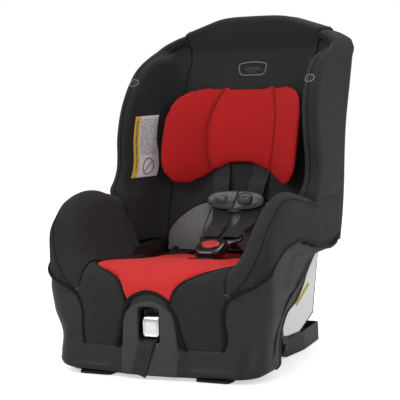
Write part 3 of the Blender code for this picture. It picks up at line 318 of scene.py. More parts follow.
def printed(name, paper, kind):
    """Generic printed panel on UV 0..1: a coloured head band, greeked lines, and a plain barred circle; the side panel
    also gets painted wrinkle shadows.
    """
    g = Nodes(name)
    u, v, _ = g.xyz(g.tex.outputs["UV"])
    grain = g.noise(900, 3, 0.6)

    def between(s, lo, hi):
        return g.math("MULTIPLY", g.math("GREATER_THAN", s, lo), g.math("LESS_THAN", s, hi))
    if kind == "wing":
        band = g.math("LESS_THAN", u, 0.21)
        # greeked lines run along v, in the right part of the panel, with ragged word breaks
        col = g.math("FLOOR", g.math("MULTIPLY", u, 26.0))
        line = g.math("LESS_THAN", g.math("FRACT", g.math("MULTIPLY", u, 26.0)), 0.45)
        vec = g.t.nodes.new("ShaderNodeCombineXYZ")
        g.put(vec.inputs[0], g.math("MULTIPLY", col, 3.7))
        g.put(vec.inputs[1], g.math("MULTIPLY", v, 34.0))
        words = g.math("GREATER_THAN", g.noise(1.0, 1, 0.5, vec.outputs[0]), 0.46)
        field = g.math("MULTIPLY", between(u, 0.27, 0.94), between(v, 0.37, 0.95))
        ink = g.math("MULTIPLY", g.math("MULTIPLY", line, words), field)
        head = g.math("MULTIPLY", g.math("MULTIPLY", between(u, 0.08, 0.14), between(v, 0.12, 0.93)),
                      g.math("GREATER_THAN", g.noise(1.0, 1, 0.5, vec.outputs[0]), 0.47))
        du = g.math("MULTIPLY", g.math("SUBTRACT", u, 0.60), 76.0)
        dv = g.math("MULTIPLY", g.math("SUBTRACT", v, 0.18), 122.0)
        rad = g.math("SQRT", g.math("ADD", g.math("MULTIPLY", du, du), g.math("MULTIPLY", dv, dv)))
        ring = g.math("LESS_THAN", g.math("ABSOLUTE", g.math("SUBTRACT", rad, 16.0)), 1.3)
        bar = g.math("MULTIPLY", g.math("LESS_THAN", g.math("ABSOLUTE", g.math("SUBTRACT", du, dv)), 1.6),
                     g.math("LESS_THAN", rad, 16.0))
        ink = g.math("MAXIMUM", g.math("MULTIPLY", ink, 0.75), g.math("MULTIPLY", g.math("MAXIMUM", ring, bar), 0.9))
        c = g.mix(band, paper, (0.72, 0.55, 0.04))
        c = g.mix(g.math("MAXIMUM", ink, g.math("MULTIPLY", head, 0.8)), c, (0.03, 0.03, 0.03))
    else:
        # a diagonal stripe and faint greeked lines; u and v run over 170 by 156 mm
        du = g.math("SUBTRACT", g.math("MULTIPLY", u, 170.0), 55.0)
        dv = g.math("SUBTRACT", g.math("MULTIPLY", v, 156.0), 51.0)
        along = g.math("ADD", g.math("MULTIPLY", du, 0.877), g.math("MULTIPLY", dv, 0.481))
        off = g.math("ABSOLUTE", g.math("ADD", g.math("MULTIPLY", du, -0.481), g.math("MULTIPLY", dv, 0.877)))
        stripe = g.math("MULTIPLY", g.math("LESS_THAN", off, 4.3), between(along, 4.0, 74.0))
        edge_ = g.math("MULTIPLY", between(off, 3.6, 4.3), between(along, 4.0, 74.0))
        vec = g.t.nodes.new("ShaderNodeCombineXYZ")
        g.put(vec.inputs[0], g.math("MULTIPLY", along, 0.5))
        dots_ = g.math("MULTIPLY", g.math("LESS_THAN", off, 1.1), g.math("GREATER_THAN", g.noise(1.0, 1, 0.5, vec.outputs[0]), 0.48))
        c = g.mix(stripe, paper, (0.72, 0.50, 0.03))
        c = g.mix(g.math("MULTIPLY", stripe, g.math("MAXIMUM", edge_, dots_)), c, (0.05, 0.04, 0.02))
        # painted shadow: grey streaks mixed into the print where the film wrinkles, standing in for the shade of the
        # wrinkles
        crease = g.ramp(g.noise(34, 3, 0.6, g.stretched(1.0, 1.0, 0.35)), (0.60, 0.0), (0.70, 1.0))
        c = g.mix(g.math("MULTIPLY", crease, 0.35), c, (0.35, 0.35, 0.35))
    c = g.mix(g.math("MULTIPLY", grain, 0.12), c, (0.5, 0.5, 0.5))
    wr = g.noise(45, 3, 0.55)
    g.out(c, g.math("MULTIPLY_ADD", wr, 0.2, 0.35), 0.0, g.bump(wr, 0.25, 0.0016))
    return g.mat


MAT = {
    "cover": fabric("cover_cloth_black", (0.026, 0.0262, 0.0268), 1.5, sheen=0.05),
    # painted shade: a darker copy of the cover cloth meant for the inner faces; no piece uses it
    "cover_shaded": fabric("cover_cloth_black_painted_shade", (0.023, 0.0232, 0.0238), 1.5, sheen=0.05),
    "binding": fabric("cover_binding_black", (0.008, 0.008, 0.0085), 1.5, 0.8, 0.7, 0.03),
    "red": fabric("cloth_red_seat", (0.63, 0.034, 0.032), 1.1, sheen=0.06, mottled=0.08, sheen_tint=(1, .5, .45)),
    "red_dark": fabric("cloth_red_pillow", (0.455, 0.0138, 0.0148), 1.1, sheen=0.05, mottled=0.10, sheen_tint=(1, .4, .4)),
    "red_thread": fabric("thread_red_dark", (0.16, 0.006, 0.008), 1.2, 0.6, sheen=0.05),
    "thread": fabric("thread_grey", (0.035, 0.035, 0.036), 1.4, 0.6, sheen=0.05),
    "mesh": mesh_cloth("spacer_mesh_grey", (0.32, 0.325, 0.33), (0.006, 0.006, 0.006)),
    "web": webbing("webbing_black", (0.0075, 0.0075, 0.008)),
    "shell": moulded("shell_grained_grey", (0.0155, 0.0157, 0.0162), 0.44, 800, 0.0003, 0.22, spec=0.34),
    "shell_dark": moulded("shell_grained_dark", (0.020, 0.0202, 0.0208), 0.5, 800, 0.0003, 0.25, spec=0.34),
    "shell_light": moulded("shell_grained_light", (0.040, 0.0402, 0.041), 0.46, 800, 0.0003, 0.22, spec=0.34),
    "black": moulded("gloss_black_plastic", (0.010, 0.010, 0.011), 0.20, 1500, 0.0001, 0.08, 0.4),
    "clip": moulded("clip_grey_plastic", (0.011, 0.0111, 0.0115), 0.32, 1500, 0.0001, 0.10, 0.15, 0.4),
    "clip_dark": moulded("clip_dark_plastic", (0.010, 0.010, 0.011), 0.34, 1500, 0.0001, 0.10, 0.1, 0.4),
    "button": moulded("button_red_plastic", (0.62, 0.045, 0.035), 0.28, 1500, 0.0001, 0.08, 0.4),
    "chrome": metal("chrome_lever", (0.86, 0.87, 0.88), 0.12, 0.12),
    "steel": metal("zinc_steel", (0.42, 0.42, 0.43), 0.34, 0.45),
    "pin": metal("blackened_steel", (0.06, 0.06, 0.062), 0.42, 0.3),
    "rubber": moulded("rubber_black", (0.014, 0.014, 0.014), 0.78, 600, 0.0004, 0.4, 0.0, 0.3),
    "foam": beads("bead_foam"),
    "wing_label": printed("label_wing_print", (0.84, 0.84, 0.88), "wing"),
    "side_label": printed("label_side_print_and_wrinkle_shade", (0.86, 0.86, 0.86), "side"),
    "badge_yellow": moulded("label_trim_yellow", (0.62, 0.42, 0.03), 0.5, 1200, 0.0001, 0.1),
    "badge": fabric("badge_thread_grey", (0.22, 0.22, 0.225), 1.4, 0.7, 0.6),
}


# ------------------------------------------------------------------ mesh helpers
def keep(obj, mat, body="seat", replaces=()):
    obj.data.materials.clear()
    obj.data.materials.append(MAT[mat])
    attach(obj, body)
    if replaces:
        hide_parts(*replaces)
    return obj


def new_object(name, verts, faces, uvs=None, smooth=True, in_mm=True):
    me = bpy.data.meshes.new(name)
    me.from_pydata([tuple(row(v)) if in_mm else tuple(v) for v in verts], [], faces)
    if uvs is not None:
        layer = me.uv_layers.new(name="UVMap")
        flat = np.asarray(uvs, float)[[i for f in faces for i in f]]
        layer.data.foreach_set("uv", flat.ravel())
    ob = bpy.data.objects.new(name, me)
    bpy.context.scene.collection.objects.link(ob)
    if smooth:
        me.shade_smooth()
    return ob


def sheet(name, net, mat, nu=60, nv=60, thick=3.0, out=(0, 0, 0), body="seat", skip=None, replaces=(),
          fine=True, uv01=False, rim=1):
    """Cloth or moulded skin through a net of points, given a thickness behind its outer face.
    out is a point inside the object, or a direction ('d', x, y, z) the outer face looks along."""
    g = refine(net, nu, nv) if fine else np.asarray(net, float)
    nu, nv = g.shape[:2]
    v = g.reshape(-1, 3)
    cu = np.mean([chord(g[:, j]) for j in range(nv)], axis=0)
    cv = np.mean([chord(g[i]) for i in range(nu)], axis=0)
    if uv01:
        cu, cv = cu / cu[-1], cv / cv[-1]
    uv = np.stack(np.meshgrid(cv, cu), -1).reshape(-1, 2)
    faces = []
    for i in range(nu - 1):
        for j in range(nv - 1):
            c = (g[i, j] + g[i + 1, j + 1]) / 2
            if skip and skip(*c):
                continue
            faces.append((i * nv + j, i * nv + j + 1, (i + 1) * nv + j + 1, (i + 1) * nv + j))
    n = np.cross(g[1:, :-1] - g[:-1, :-1], g[:-1, 1:] - g[:-1, :-1]).reshape(-1, 3)
    mid = ((g[1:, 1:] + g[:-1, :-1]) / 2).reshape(-1, 3)
    if out[0] == "d":
        score = float((n @ np.array(out[1:], float)).sum())
    else:
        score = float((n * (mid - np.array(out, float))).sum())
    if score > 0:
        faces = [tuple(reversed(f)) for f in faces]
    ob = new_object(name, v, faces, uv)
    if thick:
        m = ob.modifiers.new("thickness", "SOLIDIFY")
        m.thickness, m.offset, m.use_even_offset = thick * 0.001, -1.0, False
    return keep(ob, mat, body, replaces)


def tube(name, points, radius, mat, body="seat", closed=False, sides=10, step=3.0, smooth_path=True, flat=1.0,
         up=None):
    """Piping, cord or rod along a line. radius is a number or a list of (share of length, radius)."""
    p = path(points, step, closed=closed) if smooth_path else np.asarray(points, float)
    n = len(p)
    rad = (lambda f: radius) if isinstance(radius, (int, float)) else (
        lambda f: float(np.interp(f, [r[0] for r in radius], [r[1] for r in radius])))
    verts, faces = [], []
    last = None
    for i in range(n):
        a = p[(i - 1) % n] if closed else p[max(i - 1, 0)]
        b = p[(i + 1) % n] if closed else p[min(i + 1, n - 1)]
        t = Vector(b - a).normalized()
        if up is not None:
            u = Vector(up) - t * Vector(up).dot(t)
        elif last is None:
            u = Vector((0.31, 0.2, 0.93)) - t * Vector((0.31, 0.2, 0.93)).dot(t)
        else:
            u = last - t * last.dot(t)
        u.normalize()
        last = u
        w = t.cross(u)
        r = rad(i / max(n - 1, 1))
        for k in range(sides):
            ang = 2 * math.pi * k / sides
            verts.append(Vector(p[i]) + u * math.cos(ang) * r * flat + w * math.sin(ang) * r)
    rings = n if closed else n - 1
    for i in range(rings):
        for k in range(sides):
            j = (i + 1) % n
            faces.append((i * sides + k, i * sides + (k + 1) % sides, j * sides + (k + 1) % sides, j * sides + k))
    if not closed:
        for end, sgn in ((0, -1), (n - 1, 1)):
            t = Vector(p[end] - p[end - sgn]).normalized() if n > 1 else Vector((0, 0, 1))
            verts.append(Vector(p[end]) + t * rad(end / max(n - 1, 1)) * 0.5)
            c = len(verts) - 1
            for k in range(sides):
                f = (c, end * sides + k, end * sides + (k + 1) % sides)
                faces.append(f if sgn > 0 else tuple(reversed(f)))
    ob = new_object(name, verts, faces)
    fix_normals(ob)
    return keep(ob, mat, body)


def fix_normals(ob):
    bm = bmesh.new()
    bm.from_mesh(ob.data)
    bmesh.ops.recalc_face_normals(bm, faces=bm.faces)
    bm.to_mesh(ob.data)
    bm.free()


def strap(name, points, across, width, thick, mat="web", body="seat", replaces=(), step=3.0, ribs=True):
    """Woven webbing along a line: a flat band with rolled selvedges and shallow ribs."""
    p = np.asarray(points, float)
    w = np.asarray(across, float)
    if w.ndim == 1:
        w = np.tile(w, (len(p), 1))
    t = chord(p)
    n = max(4, int(t[-1] / step))
    q = np.linspace(0, t[-1], n)
    P, W = spline(t, p, q), spline(t, w, q)
    prof = []
    m = 17
    for k in range(m):
        f = -1 + 2 * k / (m - 1)
        edge = max(0.0, 1 - ((1 - abs(f)) / 0.10)) if abs(f) > 0.9 else 0.0
        h = (1 - edge ** 2 * 0.85) * (1.0 + (0.10 * math.cos(f * math.pi * 4.0) if ribs else 0.0))
        prof.append((f * width / 2, h * thick / 2))
    loop = prof + [(a, -b) for a, b in reversed(prof)]
    verts, uvs, faces = [], [], []
    for i in range(n):
        tan = Vector(P[min(i + 1, n - 1)] - P[max(i - 1, 0)]).normalized()
        wv = Vector(W[i])
        wv = (wv - tan * wv.dot(tan)).normalized()
        nv = tan.cross(wv)
        for a, b in loop:
            verts.append(Vector(P[i]) + wv * a + nv * b)
            uvs.append((a, q[i]))
    k = len(loop)
    for i in range(n - 1):
        for j in range(k):
            faces.append((i * k + j, i * k + (j + 1) % k, (i + 1) * k + (j + 1) % k, (i + 1) * k + j))
    faces.append(tuple(range(k)))
    faces.append(tuple(reversed(range((n - 1) * k, n * k))))
    ob = new_object(name, verts, faces, uvs)
    fix_normals(ob)
    return keep(ob, mat, body, replaces)


def rings(name, loops, mat, body="seat", replaces=(), cap=True, sub=0, sharp=35, place=None):
    """Closed loops of equal length joined in order; the ends are capped with small fans."""
    verts, faces = [], []
    k = len(loops[0])
    for lp in loops:
        for q in lp:
            verts.append(place(*q) if place else q)
    n = len(loops)
    for i in range(n - 1):
        for j in range(k):
            faces.append((i * k + j, i * k + (j + 1) % k, (i + 1) * k + (j + 1) % k, (i + 1) * k + j))
    if cap:
        faces.append(tuple(reversed(range(k))))
        faces.append(tuple(range((n - 1) * k, n * k)))
    ob = new_object(name, verts, faces)
    fix_normals(ob)
    ob.data.set_sharp_from_angle(angle=math.radians(sharp))
    if sub:
        m = ob.modifiers.new("sub", "SUBSURF")
        m.levels = m.render_levels = sub
    return keep(ob, mat, body, replaces)


def superoval(rx, ry, n=40, e=1.0, cx=0.0, cy=0.0):
    out = []
    for k in range(n):
        a = 2 * math.pi * (k + 0.5) / n
        c, s = math.cos(a), math.sin(a)
        out.append((cx + rx * math.copysign(abs(c) ** e, c), cy + ry * math.copysign(abs(s) ** e, s)))
    return out


def resample_closed(poly, n):
    p = np.asarray(list(poly) + [poly[0]], float)
    t = chord(p)
    q = np.linspace(0, t[-1], n, endpoint=False)
    return np.stack([np.interp(q, t, p[:, i]) for i in range(p.shape[1])], -1)


def rounded(poly, r, k=4):
    """A polygon with its corners rounded."""
    out = []
    n = len(poly)
    for i in range(n):
        a, b, c = (Vector(poly[(i + d) % n]).to_2d() for d in (-1, 0, 1))
        u, v = (a - b), (c - b)
        rr = min(r if isinstance(r, (int, float)) else r[i], u.length * 0.49, v.length * 0.49)
        p0, p1 = b + u.normalized() * rr, b + v.normalized() * rr
        for j in range(k + 1):
            f = j / k
            q = p0.lerp(b, f).lerp(b.lerp(p1, f), f)
            out.append((q.x, q.y))
    return out


def inset2d(poly, d):
    """A counter-clockwise or clockwise outline moved inwards by d."""
    n = len(poly)
    area = sum(poly[i][0] * poly[(i + 1) % n][1] - poly[(i + 1) % n][0] * poly[i][1] for i in range(n))
    s = 1 if area > 0 else -1
    out = []
    for i in range(n):
        a, b = Vector(poly[i - 1]), Vector(poly[(i + 1) % n])
        t = (b - a).normalized()
        out.append((poly[i][0] - t.y * d * s, poly[i][1] + t.x * d * s))
    return out


def moulding(name, outline, a0, a1, mat, place=None, edge=1.2, body="seat", replaces=(), top_only=False, seg=3):
    """A flat outline given depth, its rims rolled over."""
    loops = []
    steps = [(math.sin(t), 1 - math.cos(t)) for t in (math.pi / 2 * i / seg for i in range(seg + 1))]
    if not top_only:
        for s, c in steps:
            loops.append([(x, y, a0 + edge * (1 - math.cos(math.asin(min(1, s))))) for x, y in inset2d(outline, edge * (1 - s))])
    else:
        loops.append([(x, y, a0) for x, y in outline])
    for s, c in reversed(steps):
        loops.append([(x, y, a1 - edge * (1 - math.cos(math.asin(min(1, s))))) for x, y in inset2d(outline, edge * (1 - s))])
    return rings(name, loops, mat, body, replaces, place=place, sharp=50)


class Skin:
    """The outer faces of one or more finished pieces, to lay seams and trims on."""

    def __init__(self, *objs):
        dg = bpy.context.evaluated_depsgraph_get()
        self.trees = [(BVHTree.FromObject(o, dg), o.matrix_world.copy()) for o in objs]

    def hit(self, p, d, reach=0.16):
        o = row(p)
        d = Vector(d).normalized()
        best = None
        for tree, mw in self.trees:
            inv = mw.inverted()
            h = tree.ray_cast(inv @ (o - d * reach), inv.to_3x3() @ d, reach * 2)
            if h[0] is not None and (best is None or h[3] < best[2]):
                best = (mw @ h[0], (mw.to_3x3() @ h[1]).normalized(), h[3])
        return best

    def lay(self, points, d, lift=0.0, step=3.0, smooth=True):
        out = []
        pts = path(points, step) if smooth else points
        for i, p in enumerate(pts):
            dd = d[0] + (d[1] - d[0]) * i / (len(pts) - 1) if isinstance(d, np.ndarray) and d.ndim == 2 else d
            h = self.hit(p, dd)
            if h is not None:
                q = h[0] + h[1] * lift * 0.001 * (1 if h[1].dot(Vector(dd)) < 0 else -1)
                out.append((q.x * 1000, q.y * 1000 + Y_MID, q.z * 1000))
        return out


def stitches(name, points, mat="thread", length=3.2, gap=1.9, r=0.42, body="seat"):
    """A run of separate thread stitches."""
    p = np.asarray(points, float)
    if len(p) < 3:
        return None
    t = chord(p)
    verts, faces = [], []
    s = 1.0
    while s + length < t[-1]:
        a = np.array([np.interp(s, t, p[:, i]) for i in range(3)])
        b = np.array([np.interp(s + length, t, p[:, i]) for i in range(3)])
        ax = Vector(b - a).normalized()
        u = ax.orthogonal().normalized()
        w = ax.cross(u)
        base = len(verts)
        for f, rr in ((0, 0.5), (0.15, 1.0), (0.85, 1.0), (1, 0.5)):
            c = Vector(a + (b - a) * f)
            for k in range(5):
                ang = 2 * math.pi * k / 5
                verts.append(c + (u * math.cos(ang) + w * math.sin(ang)) * r * rr)
        for i in range(3):
            for k in range(5):
                faces.append((base + i * 5 + k, base + i * 5 + (k + 1) % 5, base + (i + 1) * 5 + (k + 1) % 5,
                              base + (i + 1) * 5 + k))
        faces.append(tuple(base + k for k in reversed(range(5))))
        faces.append(tuple(base + 15 + k for k in range(5)))
        s += length + gap
    if not verts:
        return None
    ob = new_object(name, verts, faces)
    fix_normals(ob)
    return keep(ob, mat, body)


# ------------------------------------------------------------------ master curves of the seat
rear_y = table([(200, 430), (221, 437), (270, 451), (325, 461), (384, 468), (443, 479), (521, 504), (577, 521),
                (600, 525), (625, 526), (655, 522)])
wing_front = table([(200, 249), (312, 249), (335, 262), (358, 273), (390, 276), (411, 275), (450, 279), (486, 289),
                    (520, 308), (552, 336), (575, 376), (594, 417), (608, 455), (700, 480)])
wing_out = table([(205, 229), (300, 229), (330, 225), (411, 221), (486, 214), (552, 207), (594, 203), (660, 200)])
width_scale = table([(575, 1.0), (600, .965), (612, .87), (622, .76), (634, .60), (643, .47), (650, .32), (655, .12)])
side_rear = table([(8, 112), (38, 113), (59, 114), (94, 112), (108, 114), (118, 124), (129, 152), (140, 165), (163, 188),
                   (188, 214), (212, 250)])
crown_top = table([(0, 656), (52, 655), (80, 651), (97, 646), (116, 639.5), (140, 632), (150, 628)])
pan_z = table([(19, 150), (50, 163), (90, 166), (150, 158), (230, 144), (300, 138), (340, 142), (368, 160),
               (386, 190), (396, 216)])


def pad_y(z):
    return 470.0 + 0.30 * (z - 560.0)


def shell_side(z, d=0.0):
    """(x, y) points of the outer side wall from the back corner to its front edge, moved out by d."""
    if z <= 305:
        yf = float(np.interp(z, [205, 240, 280, 294, 305], [64, 66, 84, 104, 262]))
        xf, ref = 228.0, 60.0
    else:
        yf, xf = wing_front(z) + 14.0, wing_out(z) - 4.5
        ref = yf
    yr = rear_y(z)
    yf = min(yf, yr - 48)
    pts = []
    for f in np.linspace(0, 1, 12):
        y = yr - 30 + (yf - yr + 30) * f
        g = min(1.0, (yr - 30 - y) / (yr - 30 - ref))
        pts.append((204 + (xf - 204) * (1 - (1 - g) ** 1.6) + d, y))
    s = (width_scale(z) * 200.0 + d) / (200.0 + d)
    return [(x * s, y) for x, y in pts]


def side_x(y, z, d=0.0):
    p = shell_side(z, d)
    return float(np.interp(y, [q[1] for q in reversed(p)], [q[0] for q in reversed(p)]))


# ------------------------------------------------------------------ base moulding
def base_half(z):
    yf = float(np.interp(z, [6, 10, 14, 24, 36, 50, 62, 72, 84, 105, 158], [17, 10.5, 7, 8, 10.4, 13.6, 17.6, 20.6, 22, 20.5, 16]))
    xs = float(np.interp(z, [6, 10, 14, 24, 40, 56, 66, 80, 110, 158, 212, 245],
                         [193, 199, 204.5, 212.5, 213.6, 213, 213.6, 217, 226, 231, 229.5, 228.4]))
    r = float(np.interp(z, [56, 62, 110], [46, 44, 36]))
    pts = [(0, yf - 2), (30, yf - 2), (50, yf - 1.2), (62, yf + 0.5), (xs - r - 45, yf + 3)]
    for k in range(0, 10):
        a = math.radians(90 * k / 9)
        pts.append((xs - r + r * math.sin(a), yf + 6 + r - r * math.cos(a)))
    yr = side_rear(z)
    for f in (0.35, 0.7, 1.0):
        pts.append((xs - 3 * f * f, yf + 6 + r + (yr - (yf + 6 + r)) * f))
    return np.array(pts)


LEV = [5.6, 6.4, 8, 10, 12, 14, 17, 20, 22, 24, 27, 31, 36, 42, 48, 54, 60, 66, 72, 78, 84, 90, 98, 106, 112, 118, 124, 130,
       136, 142, 152, 160, 170, 178, 186, 194, 202, 210, 218, 226, 234, 244]
front_rows = []
for z in LEV:
    lip = (0.6 if 11 < z < 21 else 0.0) + float(np.interp(z, [6, 9, 12, 19, 24, 30, 38, 46], [0, 1.4, 2.2, 2.4, 1.2, 0.4, 0.1, 0]))
    h, push = base_half(z), 0.0 - 1.3 * min(1.0, max(0.0, (z - 150) / 25.0))
    t = chord(h)
    fine = spline(t, h, np.linspace(0, t[-1], 66))
    tan = np.gradient(fine, axis=0)
    tan /= np.linalg.norm(tan, axis=1)[:, None]
    nrm = np.stack([tan[:, 1], -tan[:, 0]], -1)
    away = np.clip((np.abs(fine[:, :1]) - 64.0) / 30.0, 0.0, 1.0)
    fine = fine + nrm * (push + 0.7 + lip * away)
    fine[0, 0] = 0.0
    front_rows.append([(x, y, z) for x, y in fine])
half = np.array(front_rows)
full = np.concatenate([half[:, :0:-1] * np.array([-1, 1, 1]), half], axis=1)


hem_z = table([(18, 153), (19, 160), (20.4, 165), (22.6, 171.5), (27.8, 179), (41.5, 190.5), (55.5, 204.5), (77, 218), (104, 230),
               (140, 237), (177, 239), (212, 230.5), (240, 223), (264, 216.5)])


def base_hole(x, y, z):
    return (abs(x) < 24 and 64 < z < 134 and y < 60) or (z > 160 and abs(x) < 172) or z > hem_z(y) + 2


base_skin = sheet("base_skin", full, "shell", out=(0, 150, 90), thick=2.0, fine=False, skip=base_hole)
for sx, side in SIDES:      # rolled rim down the rear edge of each side panel
    edge = [(sx * (q[0] - 0.5), q[1] - 0.5, q[2]) for q in half[4:35, -1]]
    tube("base_rim_" + side, edge, 2.6, "shell", step=5)

# housing round the harness adjuster
def housing_y(x, z):
    return float(np.interp(z, [8, 20, 34, 56, 66, 105, 141], [2.7, 3.0, 4.4, 6.4, 7.4, 8.4, 9.6])) + 1.4 * (abs(x) / 54.0) ** 2


house = []
for k in range(25):
    a = math.pi * k / 24
    house.append((54 * math.cos(a) * (1 + 0.05 * math.sin(a) ** 2), 95 + 46 * math.sin(a) ** 0.92))
house = [(57, 8), (56.5, 30), (55.5, 56), (54.6, 78)] + house + [(-54.6, 78), (-55.5, 56), (-56.5, 30), (-57, 8),
                                                                 (-30, 7.5), (0, 7.2), (30, 7.5)]
hole = rounded([(22, 67), (22, 131), (-22, 131), (-22, 67)], 6, 5)
N_H = 96


def around(poly, n, centre):
    """The outline resampled by angle round a centre, so that two outlines pair up."""
    p = np.array(poly, float) - np.array(centre)
    ang = np.arctan2(p[:, 1], p[:, 0])
    dense = resample_closed(poly, 2400) - np.array(centre)
    da = np.arctan2(dense[:, 1], dense[:, 0])
    out = []
    for k in range(n):
        a = -math.pi + 2 * math.pi * (k + 0.5) / n
        i = int(np.argmin(np.abs(np.angle(np.exp(1j * (da - a))))))
        out.append(tuple(dense[i] + np.array(centre)))
    return out


o_ring, h_ring = around(house, N_H, (0, 99)), around(hole, N_H, (0, 99))


def between(a, b, f):
    return [(p[0] + (q[0] - p[0]) * f, p[1] + (q[1] - p[1]) * f) for p, q in zip(a, b)]


def wide(poly, d):
    return [(x * (1 + d / 54.0), z if z < 60 else z + d * 0.8 * min(1, (z - 60) / 60)) for x, z in poly]


loops = [[(x, 24.0 if z > 58 else 17.0, z) for x, z in wide(o_ring, 6.0)],
         [(x, (19.5 if z > 58 else 12.0), z) for x, z in wide(o_ring, 4.5)],
         [(x, housing_y(x, z) + 2.6, z) for x, z in wide(o_ring, 1.2)],
         [(x, housing_y(x, z) + 0.7, z) for x, z in o_ring],
         [(x, housing_y(x, z), z) for x, z in between(o_ring, h_ring, 0.06)],
         [(x, housing_y(x, z) - 0.3, z) for x, z in between(o_ring, h_ring, 0.3)],
         [(x, housing_y(x, z) - 0.3, z) for x, z in between(o_ring, h_ring, 0.6)],
         [(x, housing_y(x, z) + 0.1, z) for x, z in between(o_ring, h_ring, 0.88)],
         [(x, housing_y(x, z) + 0.5, z) for x, z in between(o_ring, h_ring, 0.93)],
         [(x, housing_y(x, z) + 2.2, z) for x, z in between(o_ring, h_ring, 0.985)],
         [(x, housing_y(x, z) + 6, z) for x, z in h_ring],
         [(x, 40, z) for x, z in h_ring], [(x, 71, z) for x, z in h_ring],
         [(x * 0.02, 71.2, 99 + (z - 99) * 0.02) for x, z in h_ring]]
rings("adjuster_housing", loops, "shell_light", cap=False, sharp=45)

# ------------------------------------------------------------------ bucket, rear box and openings
for name in ("shell",):
    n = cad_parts[name]
    n.data.materials.clear()
    n.data.materials.append(MAT["shell"])
    n.data.shade_smooth()
    n.data.set_sharp_from_angle(angle=math.radians(32))

# raised strengthening beads on the back of the bucket, and rims round its harness slots
def back_out(x, z):
    return float(np.interp(abs(x), [0, 45, 90, 140, 176, 196], [9, 8.5, 7, 4, -1, -10])) + rear_y(z)


for k, x in enumerate((-150, -96, 96, 150)):
    pts = [(x * (1 - 0.06 * (z < 300)), back_out(x, z) + 0.2, z) for z in np.linspace(232, 588, 24)]
    tube("shell_rib_%d" % k, pts, [(0, 0.6), (0.04, 3.0), (0.96, 3.0), (1, 0.6)], "shell", step=8, sides=12)
for zz in (300.0, 350.0, 402.0):
    for sx, side in SIDES:
        lp = rounded([(sx * 46 - 26, zz - 5.5), (sx * 46 + 26, zz - 5.5), (sx * 46 + 26, zz + 5.5),
                      (sx * 46 - 26, zz + 5.5)], 4)
        tube("slot_rim_%d_%s" % (zz, side), [(x, back_out(x, z) + 0.3, z) for x, z in lp], 1.6, "shell_dark",
             closed=True, step=3)
for k, z in enumerate((432, 468, 504, 540)):
    pts = [(x, back_out(x, z) + 0.2, z) for x in np.linspace(-78, 78, 20)]
    tube("shell_bar_%d" % k, pts, [(0, 0.5), (0.06, 2.4), (0.94, 2.4), (1, 0.5)], "shell", step=8, sides=12)
for sx, side in SIDES:      # rolled lip round the belt path in the side of the rear box
    lp = []
    c, s = math.cos(math.radians(58)), math.sin(math.radians(58))
    for y, z in superoval(31, 14, 36, 0.62):
        lp.append((sx * 159.2, 272 + y * c - z * s, 150 + y * s + z * c))
    tube("belt_lip_" + side, lp, 2.4, "shell", closed=True, step=3)

# ------------------------------------------------------------------ upper cover: wings and back
def wing_inner(z):
    py = pad_y(z)
    wf = wing_front(z)
    s = min(1.0, (wing_out(z) - 31.0) / 190.0)
    d, xf = py - (wf + 16.0), wing_out(z) - 31.0
    hi = [(151 * s, py - 0.10 * d), (168 * s, py - 0.20 * d), (179 * s, py - 0.38 * d)]
    hi += [(179 * s + (xf - 179 * s) * (f - 0.38) / 0.62, py - d * f) for f in (0.58, 0.8, 1.0)]
    e = py - 252.0
    lo = [(151, py - 0.10 * e), (166, py - 0.2 * e), (176, py - 0.38 * e), (180, py - 0.6 * e),
          (182, py - 0.8 * e), (184, 254.0)]
    w = min(1.0, max(0.0, (z - 292) / 45.0))
    w = w * w * (3 - 2 * w)
    return [(a[0] + (b[0] - a[0]) * w, a[1] + (b[1] - a[1]) * w) for a, b in zip(lo, hi)]


def wing_station(z):
    inner = wing_inner(z)
    w = min(1.0, max(0.0, (z - 292) / 45.0))
    yn = wing_front(z)
    xo, xi = side_x(yn + 16, z, 4.4), inner[-1][0]
    c, r = (xo + xi) / 2, (xo - xi) / 2
    nose = [(c + r * math.cos(math.radians(a)), yn + 16 - 16 * math.sin(math.radians(a)))
            for a in (150, 120, 90, 60, 30)]
    yr = rear_y(z)
    outer = [(side_x(y, z, 4.4), y) for y in np.linspace(yn + 16, yr - 30, 7)]
    rear = [(199.5, yr - 8.5), (189, yr + 0.5), (176, yr + 3.4), (160, yr + 5.2)]
    s = (width_scale(z) * 200 + 4.4) / 204.4
    rear = [(x * s, y) for x, y in rear]
    return [(x, y, z) for x, y in inner + nose + outer + rear]


def shoulder_station(O, m, tau, yn, K, yb, flap, curve_):
    m = np.array(m, float)
    m /= np.linalg.norm(m)
    O, K = np.array(O, float), np.array(K, float)
    r = tau / 2
    ry = min(15.0, r + 1.5)
    I = O + m * tau
    out = []
    g0 = np.array([0, .44, .72, .81, .91, 1.0])
    g1 = np.array([0, .2, .4, .6, .8, 1.0])
    f0 = np.array([0, .11, .31, .53, .78, 1.0])
    g = g0 * (1 - curve_) + g1 * curve_
    f0 = f0 * (1 - curve_) + g1 * curve_
    for f, gg in zip(f0, g):
        p = np.array([K[0], K[2]]) * (1 - gg) + I * gg
        out.append((p[0], K[1] + (yn + ry - K[1]) * f, p[1]))
    c = (O + I) / 2
    for a in (150, 120, 90, 60, 30):
        p = c + (O - I) / 2 * math.cos(math.radians(a))
        out.append((p[0], yn + ry - ry * math.sin(math.radians(a)), p[1]))
    for y in np.linspace(yn + ry, yb - 16, 7):
        out.append((O[0], y, O[1]))
    out += [tuple(q) for q in flap]
    return out


def flap_for(x, z, w, zt):
    """Rear turn-over: on the wing it wraps the back corner, on the crown it hangs down the back."""
    yr = rear_y(z)
    side_ = [(x - 3.5, yr - 8.5, z), (x - 14, yr + 0.5, z - 1), (x - 27, yr + 3.6, z - 2), (x - 42, yr + 5.4, z - 3)]
    down = [(x - 0.5, yr + 6, zt - 2.5), (x - 1, yr + 10.6, zt - 9), (x - 2, yr + 12, (zt - 9 + 604) / 2),
            (x - 3, yr + 11.5, 603)]
    return [tuple(a[i] * (1 - w) + b[i] * w for i in range(3)) for a, b in zip(side_, down)]


